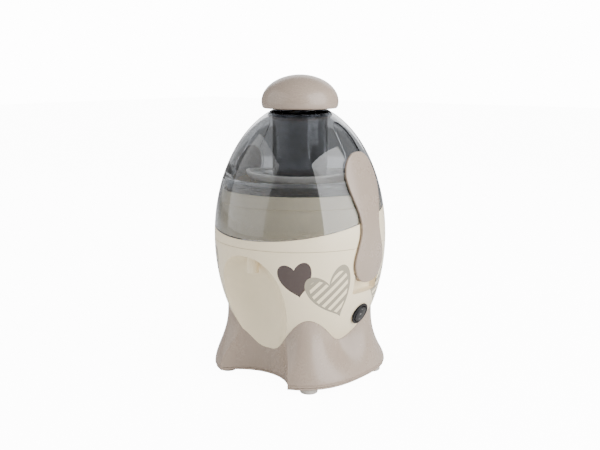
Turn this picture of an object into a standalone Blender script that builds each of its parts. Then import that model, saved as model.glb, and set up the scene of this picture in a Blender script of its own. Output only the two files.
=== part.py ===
"""A compact centrifugal juicer: egg-shaped body, clear lid, cup bay, side latches and a motor inside.

The origin is on the drive axis at the table top.  +Z is up, -Y is the front with the cup bay, and the
two latches are on -X and +X.  Angles round the body start at the front and grow towards +X.
"""
import math

import bmesh
import bpy
from mathutils import Matrix

MM = 0.001
NAME = "juicer"

# The egg that the lid, the bowl and the housing share
EGG_R = 89.3 * MM
EGG_MID_Z = 145.0 * MM
EGG_RISE = 137.0 * MM
EGG_DROP = 139.0 * MM

# Walls and the gaps between neighbours
WALL = 2.8 * MM
LID_WALL = 2.4 * MM
BOWL_WALL = 2.4 * MM
GAP = 0.3 * MM
SLIDE_GAP = 0.6 * MM
LID_GAP = 0.4 * MM

# Lid, feed tube and pusher
LID_EDGE_Z = 171.0 * MM
LID_EDGE_TILT = math.radians(11.5)
TUBE_R = 28.4 * MM
TUBE_WALL = 2.2 * MM
TUBE_END_Z = 190.0 * MM
LID_RING_PLAY = 1.8 * MM
LID_RING_END_Z = 190.0 * MM
STEM_END_Z = 196.0 * MM
STEM_WALL = 1.8 * MM
KNOB_R = 39.5 * MM
KNOB_HEIGHT = 34.0 * MM
KNOB_WALL = 2.8 * MM
KNOB_LIFT = 1.6 * MM

# Bowl
PARTING_Z = 144.0 * MM
BOWL_RIM_Z = 195.5 * MM
TOWER_R = 36.0 * MM
TOWER_TOP_R = 29.5 * MM
TOWER_Z = 163.0 * MM
TOWER_HOLE_R = 16.0 * MM
SPOUT_Y = -75.0 * MM
SPOUT_R = 6.0 * MM
SPOUT_BORE_R = 4.2 * MM
SPOUT_TIP_Z = 118.0 * MM

# Strainer basket
BASKET_R = 56.7 * MM
BASKET_TOP_Z = 210.0 * MM
BASKET_LIP = 7.5 * MM
SIEVE_LOW_R = 47.0 * MM
SIEVE_WALL = 0.8 * MM
BASKET_FLOOR_Z = 166.0 * MM
BASKET_FLOOR = 3.0 * MM
GRATER_THICK = 1.2 * MM

# Housing, base and cup bay
WAVE_MEAN_Z = 59.5 * MM
WAVE_SIZE = 13.5 * MM
WAVE_FRONT_Z = 34.0 * MM
FRONT_ARC = math.radians(44)
WAVE_ARC = math.radians(68)
FOOTPRINT_R = 87.0 * MM
FOOTPRINT_SQUARE = 4.0 * MM
BASE_WALL = 3.0 * MM
BASE_LOW_Z = 9.0 * MM
DECK = 2.8 * MM
BAY_R = 52.6 * MM
BAY_Y = -104.0 * MM
BAY_SPRING_Z = 57.0 * MM
BAY_TOP_Z = 138.0 * MM
BAY_FULLNESS = 0.8
COVER_THICK = 2.2 * MM
FOOT_R = 9.0 * MM
FOOT_HEIGHT = 6.2 * MM
FOOT_INSET = 10.0 * MM
FOOT_ANGLES = {"front_right": 45, "front_left": -45, "rear_right": 121, "rear_left": -121}
SCREW_ANGLES = {"front_right": 74, "front_left": -74, "rear_right": 152, "rear_left": -152}
SCREW_INSET = 16.0 * MM
SCREW_R = 1.5 * MM
SCREW_HEAD_R = 3.2 * MM
SCREW_LENGTH = 14.0 * MM
POST_R = 4.6 * MM

# Latches
LATCH_LOW_Z = 107.0 * MM
LATCH_TAIL_Z = 128.0 * MM
LATCH_WAIST_Z = 164.0 * MM
LATCH_HEAD_Z = 209.0 * MM
LATCH_TOP_Z = 235.0 * MM
LATCH_TAIL_HALF = 23.0 * MM
LATCH_WAIST_HALF = 14.5 * MM
LATCH_HEAD_HALF = 24.0 * MM
LATCH_THICK = 3.6 * MM
LATCH_STAND = 2.6 * MM
LATCH_TIP_STAND = 2.6 * MM
LATCH_TAIL_TUCK = 1.3 * MM
SCOOP_MARGIN = 1.5 * MM
SCOOP_DEPTH = 1.5 * MM
SCOOP_TOP_Z = 264.0 * MM
SCOOP_STRIP_HALF = 13.0 * MM
PIVOT_Z = 114.0 * MM
PIVOT_DEPTH = 5.55 * MM
LUG_R = 5.4 * MM
LUG_HALF = 9.0 * MM
PIN_R = 1.5 * MM
PIN_RUN_GAP = 0.1 * MM
POCKET_HALF = 20.0 * MM
POCKET_ROOM = 7.5 * MM
POCKET_LOW_Z = 97.0 * MM
POCKET_TOP_Z = 121.0 * MM

# Motor
SHAFT_R = 4.0 * MM
SHAFT_LOW_Z = 29.0 * MM
SHAFT_TOP_Z = 156.0 * MM
STATOR_HALF = 33.0 * MM
STATOR_LOW_Z = 78.0 * MM
STATOR_HEIGHT = 30.0 * MM
STATOR_BORE_R = 19.0 * MM
AIR_GAP = 0.8 * MM
COIL_X = 22.6 * MM
COIL_WIDE = 8.0 * MM
COIL_OUT_HALF = 24.0 * MM
COIL_IN_HALF = 16.5 * MM
COIL_OVERHANG = 6.0 * MM
WINDING_R = 15.0 * MM
WINDING_HEIGHT = 8.0 * MM
COMMUTATOR_R = 10.0 * MM
COMMUTATOR_LOW_Z = 57.0 * MM
COMMUTATOR_HEIGHT = 11.0 * MM
BRUSH_HALF = 3.0 * MM
BRUSH_LENGTH = 15.0 * MM
HOLDER_LENGTH = 20.0 * MM
HOLDER_WALL = 1.4 * MM
BEARING_R = 9.5 * MM
BEARING_HEIGHT = 7.0 * MM
UPPER_BEARING_Z = 118.5 * MM
LOWER_BEARING_Z = 46.0 * MM
BRACKET_R = 38.0 * MM
BRACKET_THICK = 3.0 * MM
BRACKET_COLLAR = 2.5 * MM
MOUNT_R = 5.0 * MM
MOUNT_REACH = 24.0 * MM
FAN_R = 30.0 * MM
FAN_LOW_Z = 31.0 * MM
FAN_DISC = 1.6 * MM
BLADE_HEIGHT = 9.0 * MM
BLADES = 9
COUPLING_R = 9.5 * MM
COUPLING_LOW_Z = 146.5 * MM
COUPLING_TOP_Z = 159.0 * MM
SEAL_R = 10.0 * MM

# Switch, interlock and cord gland
SWITCH_Z = 73.0 * MM
SWITCH_TILT = math.radians(21)
BEZEL_R = 11.65 * MM
BEZEL_FLANGE = 2.0 * MM
BARREL_R = 10.0 * MM
BARREL_DEPTH = 15.0 * MM
ROCKER_R = 8.3 * MM
ROCKER_HOLE_R = 9.1 * MM
ROCKER_DEPTH = 5.5 * MM
INTERLOCK_ROOM = 13.0 * MM
GLAND_Z = 24.0 * MM
GLAND_R = 6.0 * MM
GLAND_BORE_R = 3.2 * MM
GLAND_LIP = 2.0 * MM

SEGMENTS = 48
FINE = 24
ROD_TURN = math.radians(2.3)


def polar(radius, angle, height):
    """A point at an angle from the front."""
    return (radius * math.sin(angle), -radius * math.cos(angle), height)


def egg_radius(height):
    """The egg's outer radius at a height."""
    reach = EGG_RISE if height > EGG_MID_Z else EGG_DROP
    return EGG_R * math.sqrt(max(0.0, 1.0 - ((height - EGG_MID_Z) / reach) ** 2))


# Places that follow the egg and the footprint
LID_TOP_Z = EGG_MID_Z + EGG_RISE * math.sqrt(1 - ((TUBE_R + LID_WALL) / EGG_R) ** 2)
LID_RING_R = egg_radius(BOWL_RIM_Z) - LID_WALL - LID_GAP - BOWL_WALL - LID_RING_PLAY
FOOT_RING_R = FOOTPRINT_R - FOOT_INSET
SCREW_RING_R = FOOTPRINT_R - SCREW_INSET
PIVOT_X = egg_radius(PIVOT_Z) - PIVOT_DEPTH
POCKET_X = PIVOT_X - POCKET_ROOM
INTERLOCK_X = POCKET_X - INTERLOCK_ROOM


def boundary_z(angle):
    """Height of the wavy line where the housing meets the base, at an angle from the front."""
    turn = abs(math.remainder(angle, math.tau))
    if turn < FRONT_ARC:
        crest = WAVE_MEAN_Z + WAVE_SIZE
        swing = (0.5 - 0.5 * math.cos(math.pi * turn / FRONT_ARC)) ** 1.7
        return WAVE_FRONT_Z + (crest - WAVE_FRONT_Z) * swing
    return WAVE_MEAN_Z + WAVE_SIZE * math.cos(math.tau * (turn - FRONT_ARC) / WAVE_ARC)


def footprint_radius(angle):
    """Radius of the base's lower edge, a circle pulled out a little towards its four corners."""
    return FOOTPRINT_R - FOOTPRINT_SQUARE * math.cos(4 * angle)


def base_radius(angle, height):
    """The flared base's outer radius, from the egg at the wavy line to the footprint."""
    line = boundary_z(angle)
    crest = max(0.0, (line - WAVE_MEAN_Z + WAVE_SIZE) / (2 * WAVE_SIZE))
    fall = min(1.0, max(0.0, (line - height) / (line - BASE_LOW_Z))) ** (0.9 + 0.45 * crest)
    share = fall * fall * (3 - 2 * fall)
    waist = egg_radius(line)
    return waist + (footprint_radius(angle) - waist) * share


def tidy_scene():
    """Start from an empty scene with one collection for the parts and one for the cutters."""
    for thing in list(bpy.data.objects):
        bpy.data.objects.remove(thing, do_unlink=True)
    collections = []
    for name in (NAME, "cutters"):
        collection = bpy.data.collections.new(name)
        bpy.context.scene.collection.children.link(collection)
        collections.append(collection)
    return collections


PARTS, CUTTERS = tidy_scene()


def surface(name, colour, roughness, metallic=0.0, alpha=1.0):
    """A plain material in the part's own colour."""
    material = bpy.data.materials.new(name)
    material.use_nodes = True
    shader = material.node_tree.nodes["Principled BSDF"]
    shader.inputs["Base Color"].default_value = (*colour, 1.0)
    shader.inputs["Roughness"].default_value = roughness
    shader.inputs["Metallic"].default_value = metallic
    shader.inputs["Alpha"].default_value = alpha
    return material


def place(name, mesh, collection, parent=None):
    """Put a mesh in the scene under its node name."""
    thing = bpy.data.objects.new(name, mesh)
    collection.objects.link(thing)
    thing.parent = parent
    if collection is CUTTERS:
        thing.hide_render = True
        thing.display_type = "WIRE"
    return thing


def as_part(thing, *look):
    """Give a part its material."""
    thing.data.materials.append(surface(thing.name, *look))
    return thing


def turned(name, outline, collection=None, steps=FINE, closed=False, parent=None):
    """Turn an outline of (radius, height) points about the vertical axis."""
    mesh = bpy.data.meshes.new(name)
    count = len(outline)
    edges = [(i, i + 1) for i in range(count - 1)]
    if closed:
        edges.append((count - 1, 0))
    mesh.from_pydata([(radius, 0.0, height) for radius, height in outline], edges, [])
    thing = place(name, mesh, collection or PARTS, parent)
    screw = thing.modifiers.new("turn", "SCREW")
    screw.steps = steps
    screw.render_steps = steps
    screw.use_merge_vertices = True
    screw.merge_threshold = 0.00001
    screw.use_smooth_shade = True
    return thing


def lofted(name, rings, collection=None, closed=True):
    """Skin a stack of rings, each a function of the angle that gives a radius and a height."""
    bm = bmesh.new()
    angles = [math.tau * i / SEGMENTS for i in range(SEGMENTS)]
    loops = []
    for ring in rings:
        loops.append([bm.verts.new(polar(*ring(angle))) for angle in angles])
    pairs = list(zip(loops, loops[1:]))
    if closed:
        pairs.append((loops[-1], loops[0]))
    for upper, lower in pairs:
        # The split of each twisted four-sided face follows the wider ring, so that facing pieces match
        falls = upper[0].co.y < lower[0].co.y
        for i in range(SEGMENTS):
            j = (i + 1) % SEGMENTS
            if falls:
                bm.faces.new((upper[j], upper[i], lower[j]))
                bm.faces.new((upper[i], lower[i], lower[j]))
            else:
                bm.faces.new((upper[j], upper[i], lower[i]))
                bm.faces.new((upper[j], lower[i], lower[j]))
    if not closed:
        bm.faces.new(loops[0])
        bm.faces.new(list(reversed(loops[-1])))
    mesh = bpy.data.meshes.new(name)
    bm.to_mesh(mesh)
    bm.free()
    return place(name, mesh, collection or PARTS)


def ring(radius, height):
    """A level round ring for a loft."""
    return lambda angle: (radius, angle, height)


def block(name, low, high, collection=None, round_edge=0.0, parent=None):
    """A box between two corners, with its edges rounded if asked."""
    bm = bmesh.new()
    bmesh.ops.create_cube(bm, size=1.0)
    centre = [(a + b) / 2 for a, b in zip(low, high)]
    size = [b - a for a, b in zip(low, high)]
    bmesh.ops.scale(bm, vec=size, verts=bm.verts)
    mesh = bpy.data.meshes.new(name)
    bm.to_mesh(mesh)
    bm.free()
    thing = place(name, mesh, collection or PARTS, parent)
    thing.location = centre
    if round_edge:
        bevel = thing.modifiers.new("edges", "BEVEL")
        bevel.width = round_edge
        bevel.segments = 2
    return thing


def rod(name, radius, length, collection=None, steps=FINE, parent=None):
    """A cylinder along its own Z, centred on its origin."""
    bm = bmesh.new()
    bmesh.ops.create_cone(
        bm, cap_ends=True, segments=steps, radius1=radius, radius2=radius, depth=length)
    mesh = bpy.data.meshes.new(name)
    bm.to_mesh(mesh)
    bm.free()
    mesh.transform(Matrix.Rotation(ROD_TURN, 4, "Z"))
    mesh.shade_smooth()
    mesh.set_sharp_from_angle(angle=math.radians(40))
    return place(name, mesh, collection or PARTS, parent)


def boolean(thing, operation, other):
    """Cut, join or trim one shape with another."""
    step = thing.modifiers.new(operation.lower(), "BOOLEAN")
    step.operation = operation
    step.object = other
    step.solver = "EXACT"
    return thing


def cut(thing, *tools):
    """Take the tools' shapes out of a part."""
    for tool in tools:
        boolean(thing, "DIFFERENCE", tool)
    return thing


def join(thing, *others):
    """Join other shapes to a part."""
    for other in others:
        boolean(thing, "UNION", other)
    return thing


def trim(thing, limit):
    """Keep only what lies inside the limit."""
    return boolean(thing, "INTERSECT", limit)


CREAM = ((0.72, 0.66, 0.57), 0.3)
TAUPE = ((0.47, 0.42, 0.38), 0.32)
SMOKE = ((0.12, 0.12, 0.13), 0.08, 0.0, 0.5)
BLACK = ((0.02, 0.02, 0.02), 0.4)
STEEL = ((0.6, 0.6, 0.6), 0.3, 1.0)
COPPER = ((0.55, 0.22, 0.1), 0.35, 1.0)
ALLOY = ((0.65, 0.66, 0.68), 0.4, 1.0)
RUBBER = ((0.04, 0.04, 0.04), 0.8)


def egg_arc(high, low, count, inset=0.0):
    """Points down the egg from one height to another, moved in by the inset."""
    points = []
    for i in range(count):
        height = high + (low - high) * i / (count - 1)
        points.append((egg_radius(height) - inset, height))
    return points


def off_egg(angle, height, stand):
    """A point off the egg's face, square to it, at an angle from the front."""
    reach = EGG_RISE if height > EGG_MID_Z else EGG_DROP
    radius = egg_radius(height)
    out = radius / EGG_R ** 2
    up = (height - EGG_MID_Z) / reach ** 2
    size = math.hypot(out, up)
    return polar(radius + stand * out / size, angle, height + stand * up / size)


def dome_arc(high, low, count, inset=0.0):
    """Points over the egg's upper part, evenly turned, on a shell the inset further in."""
    rise = EGG_RISE - inset
    first = math.asin((high - EGG_MID_Z) / rise)
    last = math.asin((low - EGG_MID_Z) / rise)
    turns = [first + (last - first) * i / (count - 1) for i in range(count)]
    return [((EGG_R - inset) * math.cos(a), EGG_MID_Z + rise * math.sin(a)) for a in turns]


def dome_height(radius, inset):
    """Height of the dome's inner face at a radius."""
    share = radius / (EGG_R - inset)
    return EGG_MID_Z + (EGG_RISE - inset) * math.sqrt(1 - share * share)


# ---- Latch geometry, shared by the latches and by the scoops and pockets they lie in ----

def latch_half(height):
    """Half the latch's width at a height: a round tail, a waist and a round head."""
    if height < LATCH_TAIL_Z:
        share = (LATCH_TAIL_Z - height) / (LATCH_TAIL_Z - LATCH_LOW_Z)
        return LATCH_TAIL_HALF * math.sqrt(max(0.0, 1 - share * share))
    if height < LATCH_WAIST_Z:
        share = (height - LATCH_TAIL_Z) / (LATCH_WAIST_Z - LATCH_TAIL_Z)
        swell = LATCH_TAIL_HALF - LATCH_WAIST_HALF
        return LATCH_WAIST_HALF + swell * (0.5 + 0.5 * math.cos(math.pi * share))
    if height < LATCH_HEAD_Z:
        share = (height - LATCH_WAIST_Z) / (LATCH_HEAD_Z - LATCH_WAIST_Z)
        swell = LATCH_HEAD_HALF - LATCH_WAIST_HALF
        return LATCH_WAIST_HALF + swell * (0.5 - 0.5 * math.cos(math.pi * share))
    share = (height - LATCH_HEAD_Z) / (LATCH_TOP_Z - LATCH_HEAD_Z)
    return LATCH_HEAD_HALF * math.sqrt(max(0.0, 1 - share * share))


def latch_stand(height):
    """How far the latch's outer face stands off the egg."""
    if height < LATCH_TAIL_Z:
        share = (LATCH_TAIL_Z - height) / (LATCH_TAIL_Z - LATCH_LOW_Z)
        return LATCH_STAND - LATCH_TAIL_TUCK * share * share
    if height < LATCH_HEAD_Z:
        return LATCH_STAND
    share = (height - LATCH_HEAD_Z) / (LATCH_TOP_Z - LATCH_HEAD_Z)
    return LATCH_STAND + LATCH_TIP_STAND * share * share


def scoop_half(height):
    """Half the width of the scoop: the latch and a margin, then a narrow strip above it."""
    strip = 0.0
    if height > LATCH_HEAD_Z:
        share = (height - LATCH_HEAD_Z) / (SCOOP_TOP_Z - LATCH_HEAD_Z)
        strip = SCOOP_STRIP_HALF * math.sqrt(max(0.0, 1 - share ** 4))
    hugged = min(max(height, LATCH_LOW_Z), LATCH_TOP_Z)
    return max(latch_half(hugged) + SCOOP_MARGIN, strip)


def wrapped_plate(name, low, high, half_width, stand, thick, rows, parent, collection=None):
    """A plate wrapped round the egg at +X, one face stand(height) off it, the thickness added to that."""
    bm = bmesh.new()
    columns = 4
    bmesh.ops.create_grid(bm, x_segments=columns, y_segments=rows, size=1.0)
    for vert in bm.verts:
        share = 0.5 + 0.5 * math.sin(vert.co.y * math.pi / 2)
        height = low + (high - low) * share
        side = vert.co.x * half_width(height)
        vert.co = off_egg(math.pi / 2 + side / egg_radius(height), height, stand(height))
    bmesh.ops.recalc_face_normals(bm, faces=bm.faces)
    if next(iter(bm.faces)).normal.x < 0:
        bmesh.ops.reverse_faces(bm, faces=bm.faces)
    mesh = bpy.data.meshes.new(name)
    bm.to_mesh(mesh)
    bm.free()
    mesh.shade_smooth()
    plate = place(name, mesh, collection or PARTS, parent)
    shell = plate.modifiers.new("thickness", "SOLIDIFY")
    shell.thickness = abs(thick)
    shell.offset = math.copysign(1.0, thick)
    return plate


def side_frame(name, turn):
    """An empty that holds one side's pieces; turned half round for the left."""
    frame = bpy.data.objects.new(name, None)
    PARTS.objects.link(frame)
    frame.rotation_euler.z = turn
    return frame


SIDES = {"right": side_frame("right_side", 0.0), "left": side_frame("left_side", math.pi)}


def scoops():
    """The shallow scoops that the latches lie in, through the lid, the bowl and the housing."""
    tools = []
    clear = 12 * MM
    edge = 0.2 * MM
    for side, frame in SIDES.items():
        tools.append(wrapped_plate(
            side + "_scoop", LATCH_LOW_Z - SCOOP_MARGIN, SCOOP_TOP_Z - edge, scoop_half,
            lambda height: -SCOOP_DEPTH, clear, 18, frame, CUTTERS))
    return tools


SCOOPS = scoops()


def latches():
    """The two ear-shaped latches, each with a lug that turns on its pin."""
    edge = 0.4 * MM
    for side, frame in SIDES.items():
        lug = rod(side + "_lug", LUG_R, 2 * LUG_HALF, CUTTERS, parent=frame)
        bore = rod(side + "_lug_bore", PIN_R + PIN_RUN_GAP, 3 * POCKET_HALF, CUTTERS, parent=frame)
        for tool in (lug, bore):
            tool.location = (PIVOT_X, 0, PIVOT_Z)
            tool.rotation_euler.x = math.pi / 2
        lug.rotation_euler.y = math.radians(3)
        latch = wrapped_plate(
            side + "_latch", LATCH_LOW_Z + edge, LATCH_TOP_Z - edge, latch_half,
            latch_stand, -LATCH_THICK, 18, frame)
        for vert in latch.data.vertices:
            vert.co.x -= PIVOT_X
            vert.co.z -= PIVOT_Z
        latch.location = (PIVOT_X, 0, PIVOT_Z)
        round_over = latch.modifiers.new("edges", "BEVEL")
        round_over.width = 1.0 * MM
        round_over.limit_method = "ANGLE"
        round_over.angle_limit = math.radians(50)
        as_part(cut(join(latch, lug), bore), *TAUPE)
        pin = rod(side + "_latch_pin", PIN_R, 2 * POCKET_HALF + WALL, parent=frame)
        pin.location = (PIVOT_X, 0, PIVOT_Z)
        pin.rotation_euler.x = math.pi / 2
        as_part(pin, *STEEL)


# ---- The cup bay, shared by the housing, the base and the bottom cover ----

def bay_shape(name, extra):
    """The cup bay's rounded niche, grown by the thickness of its wall."""
    radius = BAY_R + extra
    rise = BAY_TOP_Z + extra - BAY_SPRING_Z
    steps = 9
    outline = []
    for i in range(steps):
        turn = math.pi / 2 * i / (steps - 1)
        outline.append((
            radius * math.sin(turn) ** BAY_FULLNESS, BAY_SPRING_Z + rise * math.cos(turn) ** BAY_FULLNESS))
    outline += [(radius, -10 * MM), (0, -10 * MM)]
    shape = turned(name, outline, CUTTERS, SEGMENTS)
    shape.location.y = BAY_Y
    shape.rotation_euler.z = 0.37 * math.tau / SEGMENTS
    return shape


BAY = bay_shape("cup_bay", 0.0)


def wavy_rings(outer, start, finish, rows):
    """Rings down a wall whose height runs between two functions of the angle."""
    def level(share):
        def at(angle):
            height = start(angle) + (finish(angle) - start(angle)) * share
            return (outer(angle, height), angle, height)
        return at
    return [level(i / (rows - 1)) for i in range(rows)]


def housing():
    """The cream motor housing: egg wall, deck, bay wall, latch pockets and spout sleeve."""
    inner = lambda angle, height: egg_radius(height) - WALL
    outer = lambda angle, height: egg_radius(height)
    top = lambda angle: PARTING_Z
    under = lambda angle: PARTING_Z - DECK
    hole = SEAL_R + GAP
    rings = [ring(hole, PARTING_Z)]
    rings += wavy_rings(outer, top, boundary_z, 7)
    rings += wavy_rings(inner, boundary_z, under, 7)
    rings.append(ring(hole, PARTING_Z - DECK))
    shell = lofted("housing", rings)

    mid = lambda angle, height: egg_radius(height) - WALL / 2
    line = lambda angle: boundary_z(angle) + 0.2 * MM
    limit_rings = [ring(1 * MM, PARTING_Z - DECK / 2)]
    limit_rings += wavy_rings(mid, lambda angle: PARTING_Z - DECK / 2, line, 7)
    limit_rings.append(lambda angle: (40 * MM, angle, line(angle)))
    limit_rings.append(ring(1 * MM, WAVE_MEAN_Z))
    limit = lofted("housing_limit", limit_rings, CUTTERS, closed=False)

    inside = bay_shape("housing_bay_wall", WALL)
    sleeve = rod("spout_sleeve", SPOUT_R + GAP + WALL, 30 * MM, CUTTERS)
    sleeve.location = (0, SPOUT_Y, PARTING_Z - 15 * MM)
    join(inside, sleeve)
    for side, frame in SIDES.items():
        low = (POCKET_X - WALL, -POCKET_HALF - WALL, POCKET_LOW_Z - WALL)
        high = (EGG_R + WALL, POCKET_HALF + WALL, POCKET_TOP_Z + WALL)
        join(inside, block(side + "_pocket_wall", low, high, CUTTERS, parent=frame))
    trim(inside, limit)
    join(shell, inside)

    passage = rod("spout_passage", SPOUT_R + GAP, 60 * MM, CUTTERS)
    passage.location = (0, SPOUT_Y, PARTING_Z)
    cut(shell, BAY, passage, *SCOOPS)
    for side, frame in SIDES.items():
        low = (POCKET_X, -POCKET_HALF, POCKET_LOW_Z)
        high = (EGG_R + 20 * MM, POCKET_HALF, POCKET_TOP_Z)
        pocket = block(side + "_pocket", low, high, CUTTERS, parent=frame)
        seat = rod(side + "_pin_seat", PIN_R + GAP, 2 * POCKET_HALF + 4 * WALL, CUTTERS, parent=frame)
        seat.location = (PIVOT_X, 0, PIVOT_Z)
        seat.rotation_euler.x = math.pi / 2
        cut(shell, pocket, seat)
    socket = rod("switch_hole", BARREL_R + GAP, 40 * MM, CUTTERS, SEGMENTS)
    set_on_switch_axis(socket, 0.0)
    cut(shell, socket)
    as_part(shell, *CREAM)


def set_on_switch_axis(thing, reach):
    """Stand a piece on the switch's axis, a distance out from the housing's face."""
    thing.rotation_euler.y = math.pi / 2 + SWITCH_TILT
    face = egg_radius(SWITCH_Z)
    thing.location = (
        face + reach * math.cos(SWITCH_TILT), 0, SWITCH_Z - reach * math.sin(SWITCH_TILT))


def base_skirt():
    """The taupe flared base under the wavy line, with its bay wall and screw posts."""
    top = lambda angle: boundary_z(angle) - GAP
    low = lambda angle: BASE_LOW_Z
    inner = lambda angle, height: base_radius(angle, height) - BASE_WALL
    rings = wavy_rings(base_radius, top, low, 7) + wavy_rings(inner, low, top, 7)
    shell = lofted("base_skirt", rings)

    mid = lambda angle, height: base_radius(angle, height) - BASE_WALL / 2
    line = lambda angle: top(angle) - 0.2 * MM
    limit_rings = [ring(1 * MM, WAVE_MEAN_Z - GAP)]
    limit_rings.append(lambda angle: (40 * MM, angle, line(angle)))
    limit_rings += wavy_rings(mid, line, lambda angle: BASE_LOW_Z + 0.2 * MM, 7)
    limit_rings.append(ring(1 * MM, BASE_LOW_Z + 0.2 * MM))
    limit = lofted("base_limit", limit_rings, CUTTERS, closed=False)

    inside = bay_shape("base_bay_wall", BASE_WALL)
    for name, angle in SCREW_ANGLES.items():
        post = rod(name + "_post", POST_R, 60 * MM, CUTTERS)
        post.location = polar(SCREW_RING_R, math.radians(angle), BASE_LOW_Z + 28 * MM)
        join(inside, post)
    trim(inside, limit)
    join(shell, inside)
    cut(shell, BAY)
    for name, angle in SCREW_ANGLES.items():
        pilot = rod(name + "_pilot", SCREW_R + GAP, 2 * SCREW_LENGTH, CUTTERS, 12)
        pilot.location = polar(SCREW_RING_R, math.radians(angle), BASE_LOW_Z)
        cut(shell, pilot)
    passage = rod("gland_hole", GLAND_R - GLAND_LIP + GAP, 30 * MM, CUTTERS)
    passage.rotation_euler.x = math.pi / 2
    passage.location = (0, base_radius(math.pi, GLAND_Z), GLAND_Z)
    cut(shell, passage)
    as_part(shell, *TAUPE)


def bottom_cover():
    """The flat cover under the base, with air slots, screw recesses and the bay cut through."""
    top = BASE_LOW_Z - GAP
    low = top - COVER_THICK
    edge = 0.8 * MM
    rim = lambda inset, height: (
        lambda angle: (footprint_radius(angle) - inset, angle, height))
    cover = lofted(
        "bottom_cover", [rim(0.4 * MM, top), rim(0.4 * MM, low + edge), rim(edge, low)], closed=False)
    cut(cover, BAY)
    for name, angle in SCREW_ANGLES.items():
        spot = polar(SCREW_RING_R, math.radians(angle), low)
        through = rod(name + "_screw_hole", SCREW_R + GAP, 20 * MM, CUTTERS, 12)
        recess = rod(name + "_screw_recess", SCREW_HEAD_R + GAP, 2 * MM, CUTTERS, 16)
        through.location = spot
        recess.location = spot
        cut(cover, through, recess)
    for i in range(6):
        reach = 14 * MM + 9 * MM * (i % 3)
        side = 1 if i < 3 else -1
        slot = block(
            f"air_slot_{i}", (side * 27 * MM - 16 * MM, reach - 2 * MM, 0),
            (side * 27 * MM + 16 * MM, reach + 2 * MM, 20 * MM), CUTTERS)
        cut(cover, slot)
    as_part(cover, *TAUPE)


def feet():
    """Four round feet under the bottom cover."""
    edge = 1.0 * MM
    for name, angle in FOOT_ANGLES.items():
        outline = [(0, FOOT_HEIGHT), (FOOT_R, FOOT_HEIGHT), (FOOT_R, edge), (FOOT_R - edge, 0), (0, 0)]
        foot = turned(name + "_foot", outline)
        foot.location = polar(FOOT_RING_R, math.radians(angle), 0)
        as_part(foot, (0.58, 0.55, 0.5), 0.5)


def cover_screws():
    """Pan-head screws that hold the bottom cover to the base's posts."""
    low = BASE_LOW_Z - GAP - COVER_THICK
    head = 0.8 * MM
    for name, angle in SCREW_ANGLES.items():
        outline = [
            (0, low + SCREW_LENGTH), (SCREW_R * 0.4, low + SCREW_LENGTH), (SCREW_R, low + SCREW_LENGTH - 2 * MM),
            (SCREW_R, low + head), (SCREW_HEAD_R, low + head - 0.1 * MM), (SCREW_HEAD_R - 0.3 * MM, low), (0, low)]
        screw = turned(name + "_cover_screw", outline, steps=12)
        spot = polar(SCREW_RING_R, math.radians(angle), 0)
        screw.location = spot
        as_part(screw, *STEEL)


def below_lid_edge(name, drop):
    """A block whose tilted top face is the lid's lower edge, lowered by the drop."""
    size = 150 * MM
    tool = block(name, (-size, -size, -2 * size), (size, size, 0), CUTTERS)
    for vert in tool.data.vertices:
        vert.co.z -= size
    tool.location = (0, 0, LID_EDGE_Z - drop)
    tool.rotation_euler.x = LID_EDGE_TILT
    return tool


def bowl():
    """The juice bowl: inner wall under the lid, a flush band, the drive tower and the spout."""
    inset = LID_WALL + LID_GAP
    seat = PARTING_Z + GAP
    floor = seat + WALL
    outline = egg_arc(BOWL_RIM_Z, seat, 5, inset)
    outline += [(TOWER_R - WALL, seat), (TOWER_TOP_R - WALL + 0.4 * MM, TOWER_Z - WALL)]
    outline += [(TOWER_HOLE_R, TOWER_Z - WALL), (TOWER_HOLE_R, TOWER_Z), (TOWER_TOP_R, TOWER_Z)]
    outline += [(TOWER_R, floor)]
    outline += egg_arc(floor, BOWL_RIM_Z, 5, inset + BOWL_WALL)
    pot = turned("bowl", outline, steps=SEGMENTS, closed=True)
    high = BOWL_RIM_Z - 2 * MM
    band_outline = egg_arc(high, seat + 0.1 * MM, 6)
    band_outline += egg_arc(seat + 0.1 * MM, high, 6, inset + BOWL_WALL / 2)
    band = turned("bowl_band", band_outline, CUTTERS, SEGMENTS, closed=True)
    trim(band, below_lid_edge("bowl_band_limit", LID_GAP))
    tip = rod("spout_tube", SPOUT_R, floor - SPOUT_TIP_Z - 1 * MM, CUTTERS)
    tip.location = (0, SPOUT_Y, (floor + SPOUT_TIP_Z - 1 * MM) / 2)
    bore = rod("spout_bore", SPOUT_BORE_R, 80 * MM, CUTTERS)
    bore.location = (0, SPOUT_Y, SPOUT_TIP_Z)
    cut(join(pot, band, tip), bore, *SCOOPS)
    as_part(pot, *CREAM)


def lid():
    """The clear lid: dome, sealing ring, feed tube and the tilted lower edge."""
    low = LID_EDGE_Z - 25 * MM
    bore = TUBE_R - TUBE_WALL
    lip = 1.2 * MM
    outline = [(bore, LID_TOP_Z + 0.6 * MM), (bore + lip, LID_TOP_Z + lip), (TUBE_R + 0.8 * MM, LID_TOP_Z + lip)]
    outline += dome_arc(LID_TOP_Z, low, 9)
    ring_in = LID_RING_R - TUBE_WALL
    outline += dome_arc(dome_height(LID_RING_R, LID_WALL), low, 4, LID_WALL)[::-1]
    outline += [(LID_RING_R, LID_RING_END_Z), (ring_in, LID_RING_END_Z)]
    outline += dome_arc(dome_height(TUBE_R, LID_WALL), dome_height(ring_in, LID_WALL), 6, LID_WALL)[::-1]
    outline += [(TUBE_R, TUBE_END_Z), (bore, TUBE_END_Z)]
    dome = turned("lid", outline, steps=SEGMENTS, closed=True)
    cut(dome, below_lid_edge("lid_edge", 0.0), *SCOOPS)
    as_part(dome, *SMOKE)


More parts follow.
